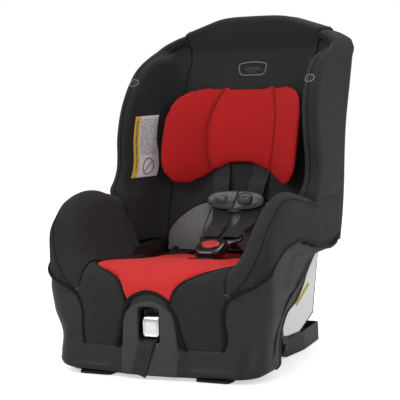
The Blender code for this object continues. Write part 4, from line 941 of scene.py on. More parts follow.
STATIONS = [wing_station(z) for z in (213, 232, 255, 280, 300, 318, 336, 358, 385, 415, 445, 475, 505, 530, 552, 567)]
for O, m, tau, yn, K, w, cv in (((203.6, 581), (-1, -.15), 28, 392, (142, 472.5, 583), 0.0, 0.15),
                                ((201.2, 592.5), (-1, -.4), 25, 421, (143, 473.0, 592), 0.15, 0.35),
                                ((195, 603), (-.8, -.7), 22, 440, (145, 473.0, 600), 0.45, 0.6),
                                ((182, 611), (-.5, -.9), 20, 449, (147, 472.0, 605), 0.75, 0.8),
                                ((167, 618), (-.35, -.94), 18, 456, (149, 470.0, 607), 0.95, 1.0),
                                ((150.6, 623.5), (-.25, -.97), 16, 463, (149, 471.0, 604), 1.0, 1.0)):
    z = O[1]
    STATIONS.append(shoulder_station(O, m, tau, yn, K, rear_y(z) + 6, flap_for(O[0], z, w, O[1]), cv))
net = np.array(STATIONS)
wing = {}
for sx, side in SIDES:
    wing[side] = sheet("cover_wing_" + side, net * np.array([sx, 1, 1]), "cover", 130, 84, 3.2,
                       out=(sx * 201, 420, 420),
                       replaces=("wing_cover_" + side, "side_pad_" + side))

# centre panel: up the back, over the crown and down behind it
def corner_x(z):
    if z <= 552:
        return wing_inner(z)[0][0]
    return float(np.interp(z, [552, 570, 585, 596, 605, 615, 629], [wing_inner(552)[0][0], wing_inner(570)[0][0], 142, 143, 145, 148, 150.5]))


def back_surface_y(f, z):
    """Front of the back panel at a share f of its half width."""
    yk = wing_inner(min(z, 570))[0][1] if z < 572 else float(np.interp(z, [570, 585, 605], [wing_inner(570)[0][1], 472.5, 472]))
    base = pad_y(z)
    puff = 2.2 * math.sin(math.pi * min(1, abs(f))) ** 2
    return base + (yk - base) * abs(f) ** 3.2 - puff


rows_ = []
FS = [-1, -.94, -.85, -.7, -.5, -.3, -.12, 0, .12, .3, .5, .7, .85, .94, 1]
for z in (196, 214, 240, 280, 320, 360, 400, 440, 480, 515, 545, 570, 588):
    rows_.append([(f * corner_x(z), back_surface_y(f, z), z) for f in FS])
for a in (0.3, 0.62, 0.88):
    r_ = []
    for f in FS:
        x = f * (142 + 8 * a)
        zt = crown_top(abs(x)) - 9
        z = 590 + (zt - 590) * a
        y = back_surface_y(f, 590) * (1 - a) + 464.5 * a
        r_.append((x, y - 3.0 * math.sin(math.pi * a) * (1 - abs(f)), z))
    rows_.append(r_)
for a in (15, 50, 85):
    r_ = []
    for f in FS:
        x = f * 150.5
        zt = crown_top(abs(x))
        r_.append((x, 475 - 11.5 * math.cos(math.radians(a)), zt - 10 + 10 * math.sin(math.radians(a))))
    rows_.append(r_)
for y_add, dz in ((-28, 0.0), (-14, -0.4), (1, -2.5), (6.2, -9)):
    r_ = []
    for f in FS:
        x = f * 150.5
        zt = crown_top(abs(x))
        r_.append((x, min(rear_y(zt) + 5 + y_add - 2.5 * f * f, 537.2), zt + dz))
    rows_.append(r_)
for a in (0.5, 1.0):
    rows_.append([(f * 150.5 * (1 - 0.015 * a), min(rear_y(604) + 12.2 - 4.5 * f * f, 537.6),
                   (crown_top(abs(f * 150.5)) - 9) * (1 - a) + 603 * a) for f in FS])
full_rows = []
for i, r_ in enumerate(rows_):
    top = min(1.0, max(0.0, (i - 12) / 3.0))
    l_, m_ = r_[0], r_[-1]

    def tuck(p, sx, k):
        low = (p[0] + sx * 0.5, p[1] + 3.0 * k, p[2])
        up = (p[0] + sx * (0.9 if k == 1 else 0.3), p[1], p[2] - (4.5 if k == 1 else 12.0))
        return tuple(a * (1 - top) + b * top for a, b in zip(low, up))
    full_rows.append([tuck(l_, -1, 2), tuck(l_, -1, 1)] + r_ + [tuck(m_, 1, 1), tuck(m_, 1, 2)])
rows_ = full_rows
back = sheet("cover_back", rows_, "cover", 150, 84, 3.2, out=(0, 505, 500), replaces=("back_pad", "crown_cover"))

# seams beside the centre panel, over the crown, and along the nose of each wing
for sx, side in SIDES:
    seam = [(sx * (corner_x(z) + 0.2), wing_inner(z)[0][1] + 0.6, z) for z in np.linspace(200, 566, 30)]
    seam += [(sx * 143, 472.3, 588), (sx * 145.5, 471.0, 602), (sx * 148.3, 466.4, 613), (sx * 150, 463.6, 621),
             (sx * 151.2, 467.5, 624.6), (sx * 151.6, 478, 624.6), (sx * 151.6, 505, 624.4),
             (sx * 151.2, 529, 622), (sx * 150, 535.2, 614)]
    tube("seam_back_" + side, seam, 1.7, "binding", step=4, sides=8)
    nose = [q[8] for q in STATIONS[2:]]
    nose = [(sx * q[0], q[1] - 0.2, q[2]) for q in nose]
    tube("seam_nose_" + side, nose, 1.0, "binding", step=4, sides=8)
    stitches("stitch_nose_" + side, [(x + sx * 4.2, y + 0.2, z) for x, y, z in path(nose[3:-2], 4)])
    hem = [(sx * q[-1][0], q[-1][1] + 0.3, q[-1][2]) for q in STATIONS]
    tube("hem_back_" + side, hem, 2.4, "binding", step=5, sides=8)
hem = [(x, min(rear_y(604) + 12.2 - 4.5 * (x / 150.5) ** 2, 537.6) + 0.1, 602.6) for x in np.linspace(-148, 148, 30)]
tube("hem_crown", [(x, y - 1.6, z) for x, y, z in hem], 1.8, "binding", step=6, sides=8)

# ------------------------------------------------------------------ arm covers
ARM = [
    [(151, 20.5, 160), (153, 20, 160), (155, 19.8, 160), (157, 19.6, 160), (159, 19.4, 159), (160.5, 19.2, 158),
     (162, 19.2, 157), (163, 19.2, 156), (164, 19.4, 155), (165, 19.8, 153.5)],
    [(150, 26.5, 181), (154, 24.6, 181.5), (159, 23, 181.5), (164.5, 21.8, 181), (170, 20.8, 179.5), (175, 20.2, 177),
     (179, 20, 174.5), (183, 20, 171.5), (186, 20.4, 168), (188.5, 21.2, 165)],
    [(149.5, 42, 196), (155, 38, 198), (162, 34.5, 201), (170, 32.2, 204), (179, 30.5, 206), (188, 29.6, 205),
     (196, 29, 200.5), (203, 28.4, 194), (210, 28, 187), (216, 28.6, 180)],
    [(150, 66, 203.5), (157, 59, 209), (165, 53.5, 216), (174, 49.5, 223.5), (185, 46.5, 230), (197, 44.5, 234),
     (209, 43.4, 232), (219, 42.4, 222), (226, 41.8, 207), (229.5, 42.6, 192)],
    [(150, 90, 201), (158, 82, 214), (166, 76, 230), (175, 70.5, 246), (187, 66, 260), (201, 63.5, 267),
     (215, 61.5, 264.5), (226, 59, 250), (231, 56.4, 228), (232.6, 56, 206)],
    [(150, 111, 198.5), (159, 105, 217), (167, 99, 239), (175.5, 93.5, 262), (187, 88.5, 283), (203, 86, 293.5),
     (218, 84, 289), (228, 81.5, 271), (232.2, 78.6, 244), (233, 78, 219)],
    [(150, 130, 196.5), (160, 127, 219), (168.5, 123, 246), (176, 118, 273), (187, 113.5, 299), (204, 111, 312),
     (219.5, 109, 306.5), (229, 107, 285), (232.8, 105, 255), (233, 104.5, 231)],
    [(150, 155, 193.5), (160.5, 154, 220), (169.5, 152, 250), (177, 149.5, 281), (187, 147, 309), (204, 145.5, 323),
     (219.5, 144, 317), (229, 142.5, 293), (232.6, 141, 262), (232.8, 140.5, 238)],
    [(150, 185, 190.5), (161.5, 185, 220), (171, 184.5, 251), (178.5, 183.5, 282), (187.5, 182, 309), (204, 181, 322.5),
     (219.5, 180, 316.5), (228.5, 179, 293), (232, 178, 264), (232.4, 178, 239.5)],
    [(150, 215, 187.5), (164, 215, 219), (174, 215, 250), (181, 215, 279), (189, 214.5, 303), (205, 214, 315),
     (219.5, 213.5, 309.5), (228.3, 213, 287), (231.4, 212.5, 256), (231.6, 212.5, 231)],
    [(150, 240, 185), (167, 240, 219), (178, 240, 250), (184.5, 240, 277), (191.5, 240, 300), (206, 240, 310.5),
     (219.5, 240, 305.5), (228, 240, 283), (230.8, 240, 249), (230.8, 240, 224)],
    [(150, 266, 183), (169, 266, 219), (181, 266, 249), (187, 266, 276), (194, 266, 297), (207, 266, 304.5),
     (219.5, 266, 299.5), (227.6, 266, 277), (230, 266, 243), (229.8, 266, 217.5)],
]
for i, w in enumerate((0, 0, 0.2, 0.6, 1, 1, 1, 0.8, 0.5, 0.2)):
    for j, (dx, dy, dz) in ((4, (0, -1.5, 2)), (5, (0, -4, 4)), (6, (1.5, -9, 7)), (7, (1.5, -11, 14)), (8, (0, -5, 9))):
        q = ARM[i][j]
        ARM[i][j] = (min(233.0, q[0] + dx * w), q[1] + dy * w, q[2] + dz * w)
arm = {}
for sx, side in SIDES:
    arm[side] = sheet("cover_arm_" + side, np.array(ARM) * np.array([sx, 1, 1]), "cover", 92, 66, 3.0,
                      out=(sx * 206, 170, 262), replaces=("arm_cover_" + side,))

# fabric below the wing, closing the side between the arm and the back corner
for sx, side in SIDES:
    low = []
    for z, dz in ((300, 0), (275, 0), (250, 0), (232, 0), (0, 0)):
        r_ = []
        for y in (236, 262, 290, 320, 350, 380, 405):
            hem = float(np.interp(y, [236, 262, 290, 320, 350, 380, 405], [225, 217, 212, 210, 211, 217, 226]))
            zz = max(z, hem)
            r_.append((sx * (side_x(y, max(zz, 206), 4.9) - (0.5 if z == 0 else 0)), y, zz - (0.0 if z else 0.6)))
        low.append(r_)
    keep_rows = [low[0], low[1], low[2], [(p[0], p[1], (a[2] + b[2]) / 2) for p, a, b in zip(low[3], low[2], low[4])],
                 low[4]]
    sheet("cover_side_" + side, keep_rows, "cover", 26, 40, 3.0, out=(sx * 150, 320, 260))

# seams over the arm: outer edge line and the join with the wing
for sx, side in SIDES:
    a = np.array(ARM)
    line = [a[0, 6]] + [a[k, 6] * 0.6 + a[k, 7] * 0.4 for k in range(1, 12)]
    skin = Skin(arm[side])
    pts = skin.lay([(sx * p[0], p[1], p[2]) for p in line], Vector((-sx, 0.55, -0.75)), 0.2, 4)
    if len(pts) > 4:
        tube("seam_arm_" + side, pts, 0.95, "binding", step=4, sides=8)
        stitches("stitch_arm_" + side, [(x + sx * 2.6, y - 0.6, z - 2.2) for x, y, z in pts[3:]])
    pts = [(sx * q[0], q[1] - 0.4, q[2] + 0.3) for q in a[:5, 0]]
    tube("seam_knee_" + side, pts, 1.3, "binding", step=3, sides=8)

# hem binding round the lower edge of the cover
HEM = [(143, 19.5, 57), (146.5, 21.5, 70), (147, 22.5, 86), (145.5, 21.5, 112), (149, 19.8, 132), (156, 18.8, 146),
       (165, 18.6, 153), (188, 20.4, 165), (203, 22.6, 171.5), (216.5, 27.8, 179), (229.6, 41.5, 190.5),
       (233.2, 55.5, 204.5), (233.6, 77, 218), (233.4, 104, 230), (233.2, 140, 237), (232.6, 177, 239),
       (231.9, 212, 230.5), (231.2, 240, 223), (230.2, 264, 216.5), (227.5, 292, 211.5), (223.5, 322, 209.5),
       (218.5, 352, 210.8), (212.8, 380, 217), (207.3, 404, 226)]
for sx, side in SIDES:
    tube("hem_" + side, [(sx * min(x, 231.2), y, z) for x, y, z in HEM], 3.6, "binding", step=3.5, sides=12)

# ------------------------------------------------------------------ front panels
FRONT = [
    [(71, 15.5, 57), (88, 16, 57), (108, 16.6, 57), (128, 17.6, 57), (143, 19.5, 57)],
    [(65.5, 14.6, 72), (84, 13.2, 72), (106, 13.6, 72), (129, 16.6, 72), (147, 22, 72)],
    [(60, 14.4, 90), (80, 12.2, 90), (104, 12.6, 91), (128, 15.8, 91), (146.6, 22, 90)],
    [(54.5, 12.6, 113), (76, 11.2, 114), (101, 11.6, 115), (127, 14.6, 114), (145.5, 21, 112)],
    [(48, 8.6, 143), (72, 9.8, 142), (99, 11.4, 140), (128, 13.6, 138), (149.5, 19.4, 134)],
    [(54, 10.6, 161), (77, 12.2, 159), (102, 13.2, 157), (130, 14.6, 153), (154, 18.6, 146)],
    [(66, 19.6, 175), (86, 17.4, 173), (108, 16.8, 171), (131, 16.8, 168), (153.5, 19.6, 159)],
    [(84, 28.4, 184.5), (100, 25, 184), (118, 22.6, 182.5), (135, 22, 180), (150.5, 26, 178)],
    [(104, 35, 192), (116, 32.4, 192), (129, 31, 191), (140, 32, 189.5), (150, 36, 190)],
    [(124, 45, 197.5), (131, 43.6, 198), (138, 43, 198), (144.5, 44.5, 197), (150, 48, 197)],
    [(139, 61, 200.5), (142, 60.4, 201), (145, 60.4, 201.2), (148, 61, 201), (151, 62.5, 201.5)],
    [(149.5, 84, 200), (150, 84, 200.2), (150.5, 84, 200.3), (151, 84, 200.3), (151.5, 84.5, 200.5)],
]
for sx, side in SIDES:
    sheet("cover_front_" + side, np.array(FRONT) * np.array([sx, 1, 1]), "cover", 84, 44, 2.6,
                        out=(sx * 110, 60, 130), replaces=("leg_bolster_" + side,))
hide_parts("front_apron")
fill = []
for z, back_ in ((112, 0), (124, 0), (136, 0), (148, 0), (157, 0.3), (161.5, 2.5), (164.5, 7), (168, 14), (176, 30), (184, 56), (186, 84), (184, 118)):
    r_ = []
    for x in (-160, -150, -120, -90, -62, -50, -38, -22, 0, 22, 38, 50, 62, 90, 120, 150, 160):
        zz = min(z, 158)
        yf = float(np.interp(zz, [105, 158], [20.5, 16]))
        bulge = float(np.interp(zz, [100, 130, 160], [9.5, 7, 5]))
        y = float(np.interp(abs(x), [0, 30, 50, 62, 150, 160], [yf - bulge, yf - bulge + .5, yf - bulge * .7, yf + .5, yf + 3, yf + 3.4]))
        r_.append((x, y - 1.5 + back_, z))
    fill.append(r_)
sheet("cover_apron", fill, "binding", 60, 90, 0.9, out=(0, 90, 120), skip=lambda x, y, z: (abs(x) < 46 and z < 140) or (abs(x) > 138 and z < 165) or
      (138 < z < 172 and abs(x) < float(np.interp(z, [138, 158, 167, 172], [45, 52, 57, 60]))))
ARCH = [(71, 14.6, 56), (65.5, 13.6, 72), (60, 13.0, 90), (54, 12.6, 113), (47, 12.4, 131), (36.5, 12.2, 145.5),
        (20, 12.4, 154.5), (0, 12.6, 158)]
arch = [(-x, y, z) for x, y, z in ARCH] + ARCH[-2::-1]
tube("arch_binding", arch, 4.3, "binding", step=3.5, sides=14)
tube("arch_inner_rim", [(x * 0.915, y + 1.2, z - 4.6 if z > 120 else z) for x, y, z in arch], 1.5, "binding",
     step=4, sides=8)
collar = []
for x, y, z in path(arch, 6):
    k = min(1.0, max(0.0, (z - 100) / 40.0))
    collar.append([(x, y + 0.5, z), (x * 0.94, y + 0.2, z - 4 * k), (x * 0.88, y + 0.8, z - 9 * k), (x * 0.82, y + 3.0, z - 14 * k)])
sheet("arch_collar", collar, "binding", 12, 120, 1.2, out=("d", 0, -1, 0))
for sx, side in SIDES:
    line = [(sx * r_[0][0], r_[0][1] - 0.5, r_[0][2] + 0.2) for r_ in FRONT[4:]]
    tube("piping_red_" + side, line, 1.35, "binding", step=3, sides=10)
    off = [(sx * (r_[0][0] * 0.86 + r_[1][0] * 0.14), r_[0][1] * 0.86 + r_[1][1] * 0.14 - 0.3, r_[0][2]) for r_ in FRONT[1:10]]
    stitches("stitch_front_" + side, path(off, 3))

# ------------------------------------------------------------------ padded pieces by cloth simulation
def closed_pad(name, top, depth, body="seat"):
    """A net of points as the top of a closed pad; its underside lies depth(x, y, z) behind."""
    g = refine(top[0], top[1], top[2])
    nu, nv = g.shape[:2]
    under = np.array([[depth(*g[i, j]) for j in range(nv)] for i in range(nu)])
    v = np.concatenate([g.reshape(-1, 3), under.reshape(-1, 3)])
    k = nu * nv
    faces = []
    for i in range(nu - 1):
        for j in range(nv - 1):
            a, b, c, d = i * nv + j, i * nv + j + 1, (i + 1) * nv + j + 1, (i + 1) * nv + j
            faces.append((a, b, c, d))
            faces.append((k + d, k + c, k + b, k + a))
    edge = ([(0, j) for j in range(nv)] + [(i, nv - 1) for i in range(1, nu)]
            + [(nu - 1, j) for j in range(nv - 2, -1, -1)] + [(i, 0) for i in range(nu - 2, 0, -1)])
    for (a, b), (c, d) in zip(edge, edge[1:] + edge[:1]):
        p, q = a * nv + b, c * nv + d
        faces.append((q, p, k + p, k + q))
    ob = new_object(name, v, faces)
    fix_normals(ob)
    return ob


def puff(ob, voxel=0.005, pressure=4.0, cap=0.008, frames=20, pinned=None, smooth=2, sub=1):
    """Swells a closed pad with the cloth solver, holds the move under a cap, and leaves a plain mesh."""
    m = ob.modifiers.new("remesh", "REMESH")
    m.mode, m.voxel_size = "VOXEL", voxel
    dg = bpy.context.evaluated_depsgraph_get()
    me = bpy.data.meshes.new_from_object(ob.evaluated_get(dg))
    ob.modifiers.clear()
    ob.data = me
    rest = np.array([v.co for v in me.vertices], float)
    if pinned is not None:
        vg = ob.vertex_groups.new(name="pin")
        for i, p in enumerate(rest):
            w = pinned(p[0] * 1000, p[1] * 1000 + Y_MID, p[2] * 1000)
            if w > 0:
                vg.add([i], w, "REPLACE")
    c = ob.modifiers.new("cloth", "CLOTH")
    c.settings.quality = 5
    c.settings.mass = 0.25
    c.settings.tension_stiffness = c.settings.compression_stiffness = 18
    c.settings.shear_stiffness = 8
    c.settings.bending_stiffness = 0.8
    c.settings.use_pressure = True
    c.settings.uniform_pressure_force = pressure
    c.settings.effector_weights.gravity = 0.0
    if pinned is not None:
        c.settings.vertex_group_mass = "pin"
    sc = bpy.context.scene
    for f in range(1, frames + 1):
        sc.frame_set(f)
    dg = bpy.context.evaluated_depsgraph_get()
    out = bpy.data.meshes.new_from_object(ob.evaluated_get(dg))
    ob.modifiers.clear()
    ob.data = out
    sc.frame_set(1)
    now = np.array([v.co for v in out.vertices], float)
    mv = now - rest
    ln = np.linalg.norm(mv, axis=1)
    scale = np.where(ln > cap, cap / np.maximum(ln, 1e-9), 1.0)
    now = rest + mv * scale[:, None]
    ob.data.vertices.foreach_set("co", now.astype(np.float32).ravel())
    bm = bmesh.new()
    bm.from_mesh(ob.data)
    for _ in range(smooth):
        bmesh.ops.smooth_vert(bm, verts=bm.verts, factor=0.5, use_axis_x=True, use_axis_y=True, use_axis_z=True)
    bm.to_mesh(ob.data)
    bm.free()
    if sub:
        m = ob.modifiers.new("sub", "SUBSURF")
        m.levels = m.render_levels = sub
        dg = bpy.context.evaluated_depsgraph_get()
        out = bpy.data.meshes.new_from_object(ob.evaluated_get(dg))
        ob.modifiers.clear()
        ob.data = out
    ob.data.shade_smooth()
    return ob


def groove(ob, lines, width=3.5, depth=2.4, normal=(0, -1, 0)):
    """Presses sewn channels into a pad: points near a line sink along the given direction."""
    co = np.array([v.co for v in ob.data.vertices], float) * 1000.0
    co[:, 1] += Y_MID
    n = np.array([v.normal for v in ob.data.vertices], float)
    d = np.array(normal, float) / np.linalg.norm(normal)
    facing = np.clip((n @ d), 0, 1)
    push = np.zeros(len(co))
    for ln in lines:
        p = path(ln, 3.0)
        seg = np.full(len(co), 1e9)
        for i in range(0, len(co), 20000):
            blk = co[i:i + 20000]
            dd = blk[:, None, :] - p[None]
            dd = dd - (dd @ d)[..., None] * d
            seg[i:i + 20000] = np.sqrt((dd ** 2).sum(-1)).min(1)
        push = np.maximum(push, np.exp(-(seg / width) ** 2) * depth)
    co -= d * (push * facing)[:, None]
    co[:, 1] -= Y_MID
    ob.data.vertices.foreach_set("co", (co / 1000.0).astype(np.float32).ravel())
    ob.data.update()


# red seat cushion
def cushion_z(y):
    return float(np.interp(y, [26, 42, 60, 76, 90, 134, 180, 212, 260, 310, 340, 368],
                           [163, 178, 190, 195, 197, 196, 190, 184, 178, 176, 179, 188]))


CUSH_F = [-1, -.93, -.8, -.6, -.38, -.18, 0, .18, .38, .6, .8, .93, 1]
seat_net = []
for w, ye, ze, yc, zc in ((46.5, 12.0, 142, 12.6, 158), (53, 11.8, 159.5, 11.6, 167), (65.5, 18.0, 174.5, 18.0, 175.5),
                          (83.5, 29.2, 184, 31.5, 183), (103.5, 36, 191.5, 41.5, 189), (124, 46, 197, 53, 193.5),
                          (139, 62, 199.8, 67, 196.5), (149.5, 86, 199.5, 88, 197.8), (151.5, 112, 198.5, 112, 198),
                          (152, 150, 194.5, 150, 195), (152, 190, 190, 190, 189.5), (152, 230, 186, 230, 183),
                          (152, 275, 183.5, 275, 179), (152, 320, 182.5, 320, 177.5), (151, 356, 184, 356, 180),
                          (150, 374, 188, 374, 186)):
    r_ = []
    for f in CUSH_F:
        g = abs(f)
        arch_z = 14.0 * (1 - g ** 1.4) if ze < 150 else 0.0
        if ze < 150:
            y, z = ye + (yc - ye) * (1 - g), ze + arch_z
        else:
            e = g ** 2.2
            y, z = ye * e + yc * (1 - e), ze * e + zc * (1 - e) + 1.6 * math.sin(math.pi * g) * (1 if ze > 150 else 0)
        r_.append((f * w, y, z))
    seat_net.append(r_)


def under_seat(x, y, z):
    d = 11.0 if y < 40 else 15.0
    k = min(1.0, max(0.0, (y - 16) / 60.0))
    return (x * 0.985, y + (1 - k) * 9.0, max(pan_z(max(y, 20)) - 1.0 if y > 60 else z - d, z - d - 9 * k))


cushion = closed_pad("seat_cushion_red", (seat_net, 90, 76), under_seat)
puff(cushion, 0.0045, 3.0, 0.005, 16, pinned=lambda x, y, z: 1.0 if (abs(x) > 149 and y > 84) or y > 360 or z < 168 and y > 70 else 0.0)
keep(cushion, "red", replaces=("seat_cushion",))
groove(cushion, [[(sx * 118, 70, 196), (sx * 114, 130, 197), (sx * 112, 200, 188), (sx * 110, 300, 180)] for sx in (-1, 1)],
       2.6, 1.4, (0, 0, 1))
sk = Skin(cushion)
for sx, side in SIDES:
    pts = sk.lay([(sx * 118, 72, 196), (sx * 114, 130, 197), (sx * 112, 200, 188), (sx * 110, 318, 180)],
                 Vector((0, 0, -1)), 0.1, 4)
    stitches("stitch_cushion_" + side, pts, "red_thread")
lp = sk.lay([(x, 218 + y, 186) for x, y in superoval(25, 7.5, 36, 0.5)], Vector((0, 0, -1)), 0.2, smooth=False)
tube("crotch_slot_binding", lp, 2.2, "binding", closed=True, step=3)
for sx, side in SIDES:
    lp = sk.lay([(sx * 121 + x, 332 + y, 186) for x, y in superoval(27, 8, 36, 0.5)], Vector((0, 0, -1)), 0.2, smooth=False)
    tube("hip_slot_binding_" + side, lp, 2.0, "binding", closed=True, step=3)

# soft edge that closes the gap between the cushion and the arm covers
for sx, side in SIDES:
    tube("cushion_edge_" + side, [(sx * 150.5, 76, 194.5), (sx * 153.5, 92, 194), (sx * 155, 120, 192), (sx * 155, 160, 188),
                                  (sx * 155, 210, 183.5), (sx * 155, 280, 179.5)], 4.6, "binding", step=5, sides=12)

# mesh lumbar panel
lum = []
for x in (-146, -136, -117, -92, -62, -31, 0, 31, 62, 92, 117, 136, 146):
    top = float(np.interp(abs(x), [0, 33, 66, 93, 115, 135, 146], [294, 292, 286, 277, 264, 246, 230]))
    r_ = []
    for f, t in ((0, 3.0), (.2, 6.5), (.45, 9.0), (.7, 8.5), (.88, 6.0), (.96, 3.8), (1, 1.2)):
        z = 190 + (top - 190) * f
        edge = 1 - (abs(x) / 153) ** 4
        near = math.exp(-(x / 84.0) ** 4) * min(1.0, max(0.0, (z - 236) / 24.0))      # flatter behind the chest clip
        r_.append((x, back_surface_y(x / 151.0, z) - 0.5 - t * (0.35 + 0.65 * edge) * (1 - 0.75 * near), z))
    lum.append(r_)
lumbar = sheet("lumbar_mesh", lum, "mesh", 70, 44, 4.5, out=("d", 0, -1, 0), replaces=("lumbar_panel",))
sk = Skin(lumbar)
rim = [(q[-1][0], q[-1][1] + 1.2, q[-1][2]) for q in lum]
rim = [(lum[0][0][0] - 0.6, lum[0][0][1], 200)] + rim + [(lum[-1][0][0] + 0.6, lum[-1][0][1], 200)]
tube("lumbar_piping", rim, 2.3, "binding", step=3, sides=12)
for sx, side in SIDES:
    pts = sk.lay([(sx * 52, 380, 296), (sx * 62, 380, 262), (sx * 68, 380, 230), (sx * 70, 380, 200)], Vector((0, 1, 0)),
                 0.1, 3)
    tube("lumbar_seam_" + side, pts, 1.0, "binding", step=3, sides=8)
    stitches("stitch_lumbar_" + side, [(x + sx * 4, y - 0.2, z) for x, y, z in pts])

# ------------------------------------------------------------------ head pillow
PT = [(0, 513), (52, 514.5), (75, 516), (97, 515), (115, 511), (131, 502.5), (142, 488), (149, 466), (153, 436)]
PB = [(0, 360), (31, 356), (50, 350), (66, 341), (84, 329), (100, 322), (117, 321), (131, 328), (142, 341), (149, 358), (153, 385)]


def pillow_curl(a):
    return max(0.0, (a - 60) / 88.0) ** 1.5 * 64.0


pil = []
for x in (-152.5, -150.5, -146, -138, -124, -106, -86, -64, -42, -21, 0, 21, 42, 64, 86, 106, 124, 138, 146, 150.5, 152.5):
    a = abs(x)
    zt, zb = table(PT)(a), table(PB)(a)
    r_ = []
    thick = float(np.interp(a, [0, 40, 60, 100, 128, 144, 149, 152.5], [16, 17, 15, 23, 22, 16, 11, 5]))
    for f, t in ((0, .12), (.05, .45), (.14, .76), (.3, .96), (.5, 1.04), (.7, .98), (.86, .78), (.95, .47), (1, .12)):
        z = zb + 1 + (zt - zb - 2) * f
        r_.append((x, pad_y(z) - 6.8 - pillow_curl(a) - thick * t, z))
    pil.append(r_)
pillow = closed_pad("head_pillow_red", (pil, 96, 60),
                    lambda x, y, z: (x, pad_y(z) - 6.8 - pillow_curl(abs(x)), z))
puff(pillow, 0.0045, 4.0, 0.005, 20, smooth=3,
     pinned=lambda x, y, z: 1.0 if y > pad_y(z) - 8.6 - pillow_curl(abs(x)) else 0.0)
keep(pillow, "red_dark", "pillow", replaces=("head_pillow",))
SEAMS = [[(sx * 51, 440, 520), (sx * 62, 440, 494), (sx * 72, 440, 462), (sx * 75.5, 440, 428), (sx * 74, 440, 392),
          (sx * 69, 440, 362), (sx * 64, 440, 334)] for sx in (1, -1)]
groove(pillow, SEAMS, 5.0, 3.4)
sk = Skin(pillow)
for (sx, side), ln in zip(SIDES, SEAMS):
    pts = sk.lay(ln, Vector((0, 1, 0)), 0.0, 3)
    tube("pillow_seam_" + side, pts, 1.0, "red_thread", "pillow", step=3, sides=8)
    for k, off in ((0, -3.4), (1, 3.4)):
        st = sk.lay([(p[0] + off, p[1], p[2]) for p in ln], Vector((0, 1, 0)), 0.15, 3)
        stitches("pillow_stitch_%s_%d" % (side, k), st, "red_thread", 2.8, 1.8, 0.38, "pillow")
# ------------------------------------------------------------------ harness webbing
CLIP_Z = 288.0
BUCKLE = Vector((0.0, 264.0, 206.0))
TILT = math.radians(25.0)
BV = Vector((0, math.cos(TILT), math.sin(TILT)))
BN = Vector((0, -math.sin(TILT), math.cos(TILT)))
BU = Vector((1, 0, 0))


def bk(u, v, n):
    return BUCKLE + BU * u + BV * v + BN * n


def strap_y(z):
    return pad_y(z) - float(np.interp(z, [320, 337], [12.5, 4.6]))


Y_SPLIT = rear_y(315) + 18
for sx, side in SIDES:
    ry = rear_y(330) + 9
    pts = [(sx * 27, Y_SPLIT - 2.2, 322), (sx * 29, ry + 5.5, 340), (sx * 38, rear_y(370) + 13.5, 370),
           (sx * 45, rear_y(392) + 12.5, 392), (sx * 46, rear_y(401) + 11.2, 400.5),
           (sx * 46, rear_y(402) + 3, 402), (sx * 46, pad_y(402) + 8, 402), (sx * 46, pad_y(402) - 0.5, 400.5),
           (sx * 46, strap_y(394) - 1, 394), (sx * 46, strap_y(370) - 1, 370), (sx * 43.6, strap_y(338) - 1, 338),
           (sx * 40.6, strap_y(320), 320), (sx * 38, strap_y(300), 300), (sx * 34, strap_y(276), 276),
           (sx * 31, strap_y(256) - 1, 256), (sx * 28.5, 348.5, 244)]
    pts += [tuple(bk(sx * u, v, 2.6)) for v, u in ((66, 24.5), (52, 23), (41, 22.5), (38.5, 22.5))]
    strap("shoulder_webbing_" + side, pts, (1, 0, 0), 38, 1.7, replaces=("shoulder_strap_" + side,), step=2.5)
    hips = [None, tuple(bk(sx * 24, 37, -10.0)), (sx * 38, 306, 201), (sx * 62, 326, 193), (sx * 90, 338, 187.5),
            (sx * 110, 341, 186), (sx * 121, 335, 180), (sx * 122, 332, 162), (sx * 122, 332, 130)]
    ac = [(a, sx * b, sx * c) for a, b, c in ((1, 0, 0), (1, -0.1, 0), (0.8, -0.6, 0), (0.55, -0.8, 0), (0.5, -0.85, 0),
                                              (0.7, -0.7, 0), (1, -0.2, 0), (1, 0, 0), (1, 0, 0))]
    strap("hip_webbing_" + side, hips[1:], ac[1:], 34, 1.6, replaces=("hip_strap_" + side,), step=2.5)
    # box stitching where the shoulder strap doubles back under the clip
    box = []
    for z in (310, 326):
        c = Vector((sx * float(np.interp(z, [300, 320, 338], [38, 40.6, 43.6])), strap_y(z) - 1.1, z))
        box.append([tuple(c + Vector((u, 0, 0))) for u in (-13, 13)])
    for k, b_ in enumerate(box):
        stitches("strap_bar_%s_%d" % (side, k), [b_[0], ((b_[0][0] + b_[1][0]) / 2, b_[0][1], b_[0][2]), b_[1]], "thread", 2.4, 1.0, 0.45)
strap("crotch_webbing", [(0, 218, 132), (0, 218, 150), (0, 218.5, 172), (0, 223, 185), (0, 236, 192.5)], (1, 0, 0), 38,
      2.0, replaces=("crotch_strap",))
strap("adjuster_webbing_rear", [(0, 58, 94), (0, 76, 101.5), (0, 92, 102.5), (0, 130, 112), (0, 200, 122), (0, 300, 122),
      (0, 345, 127), (0, 375, 142), (0, 388, 162), (0, 395.5, 180), (0, 402, 187), (0, 424, 187), (0, 446, 196),
      (0, 457, 220), (0, 468, 270), (0, 475.5, 300)], (1, 0, 0), 30, 1.6, replaces=("adjuster_strap_rear",))
TAIL = [(0, 53, 92.6), (0, 40, 87), (0, 26, 73.5), (-0.6, 14, 69.5), (-2, 5.2, 66.2), (-4.5, 2.4, 58), (-10, 1.6, 40),
        (-15.5, 1.2, 22), (-19.5, 1.2, 9)]
lean = [(1, 0, 0)] * 4 + [(1, 0, -0.1)] + [(1, 0, -0.28)] * 4
strap("adjuster_webbing_tail", TAIL, lean, 30, 1.6, replaces=("adjuster_strap_tail",))
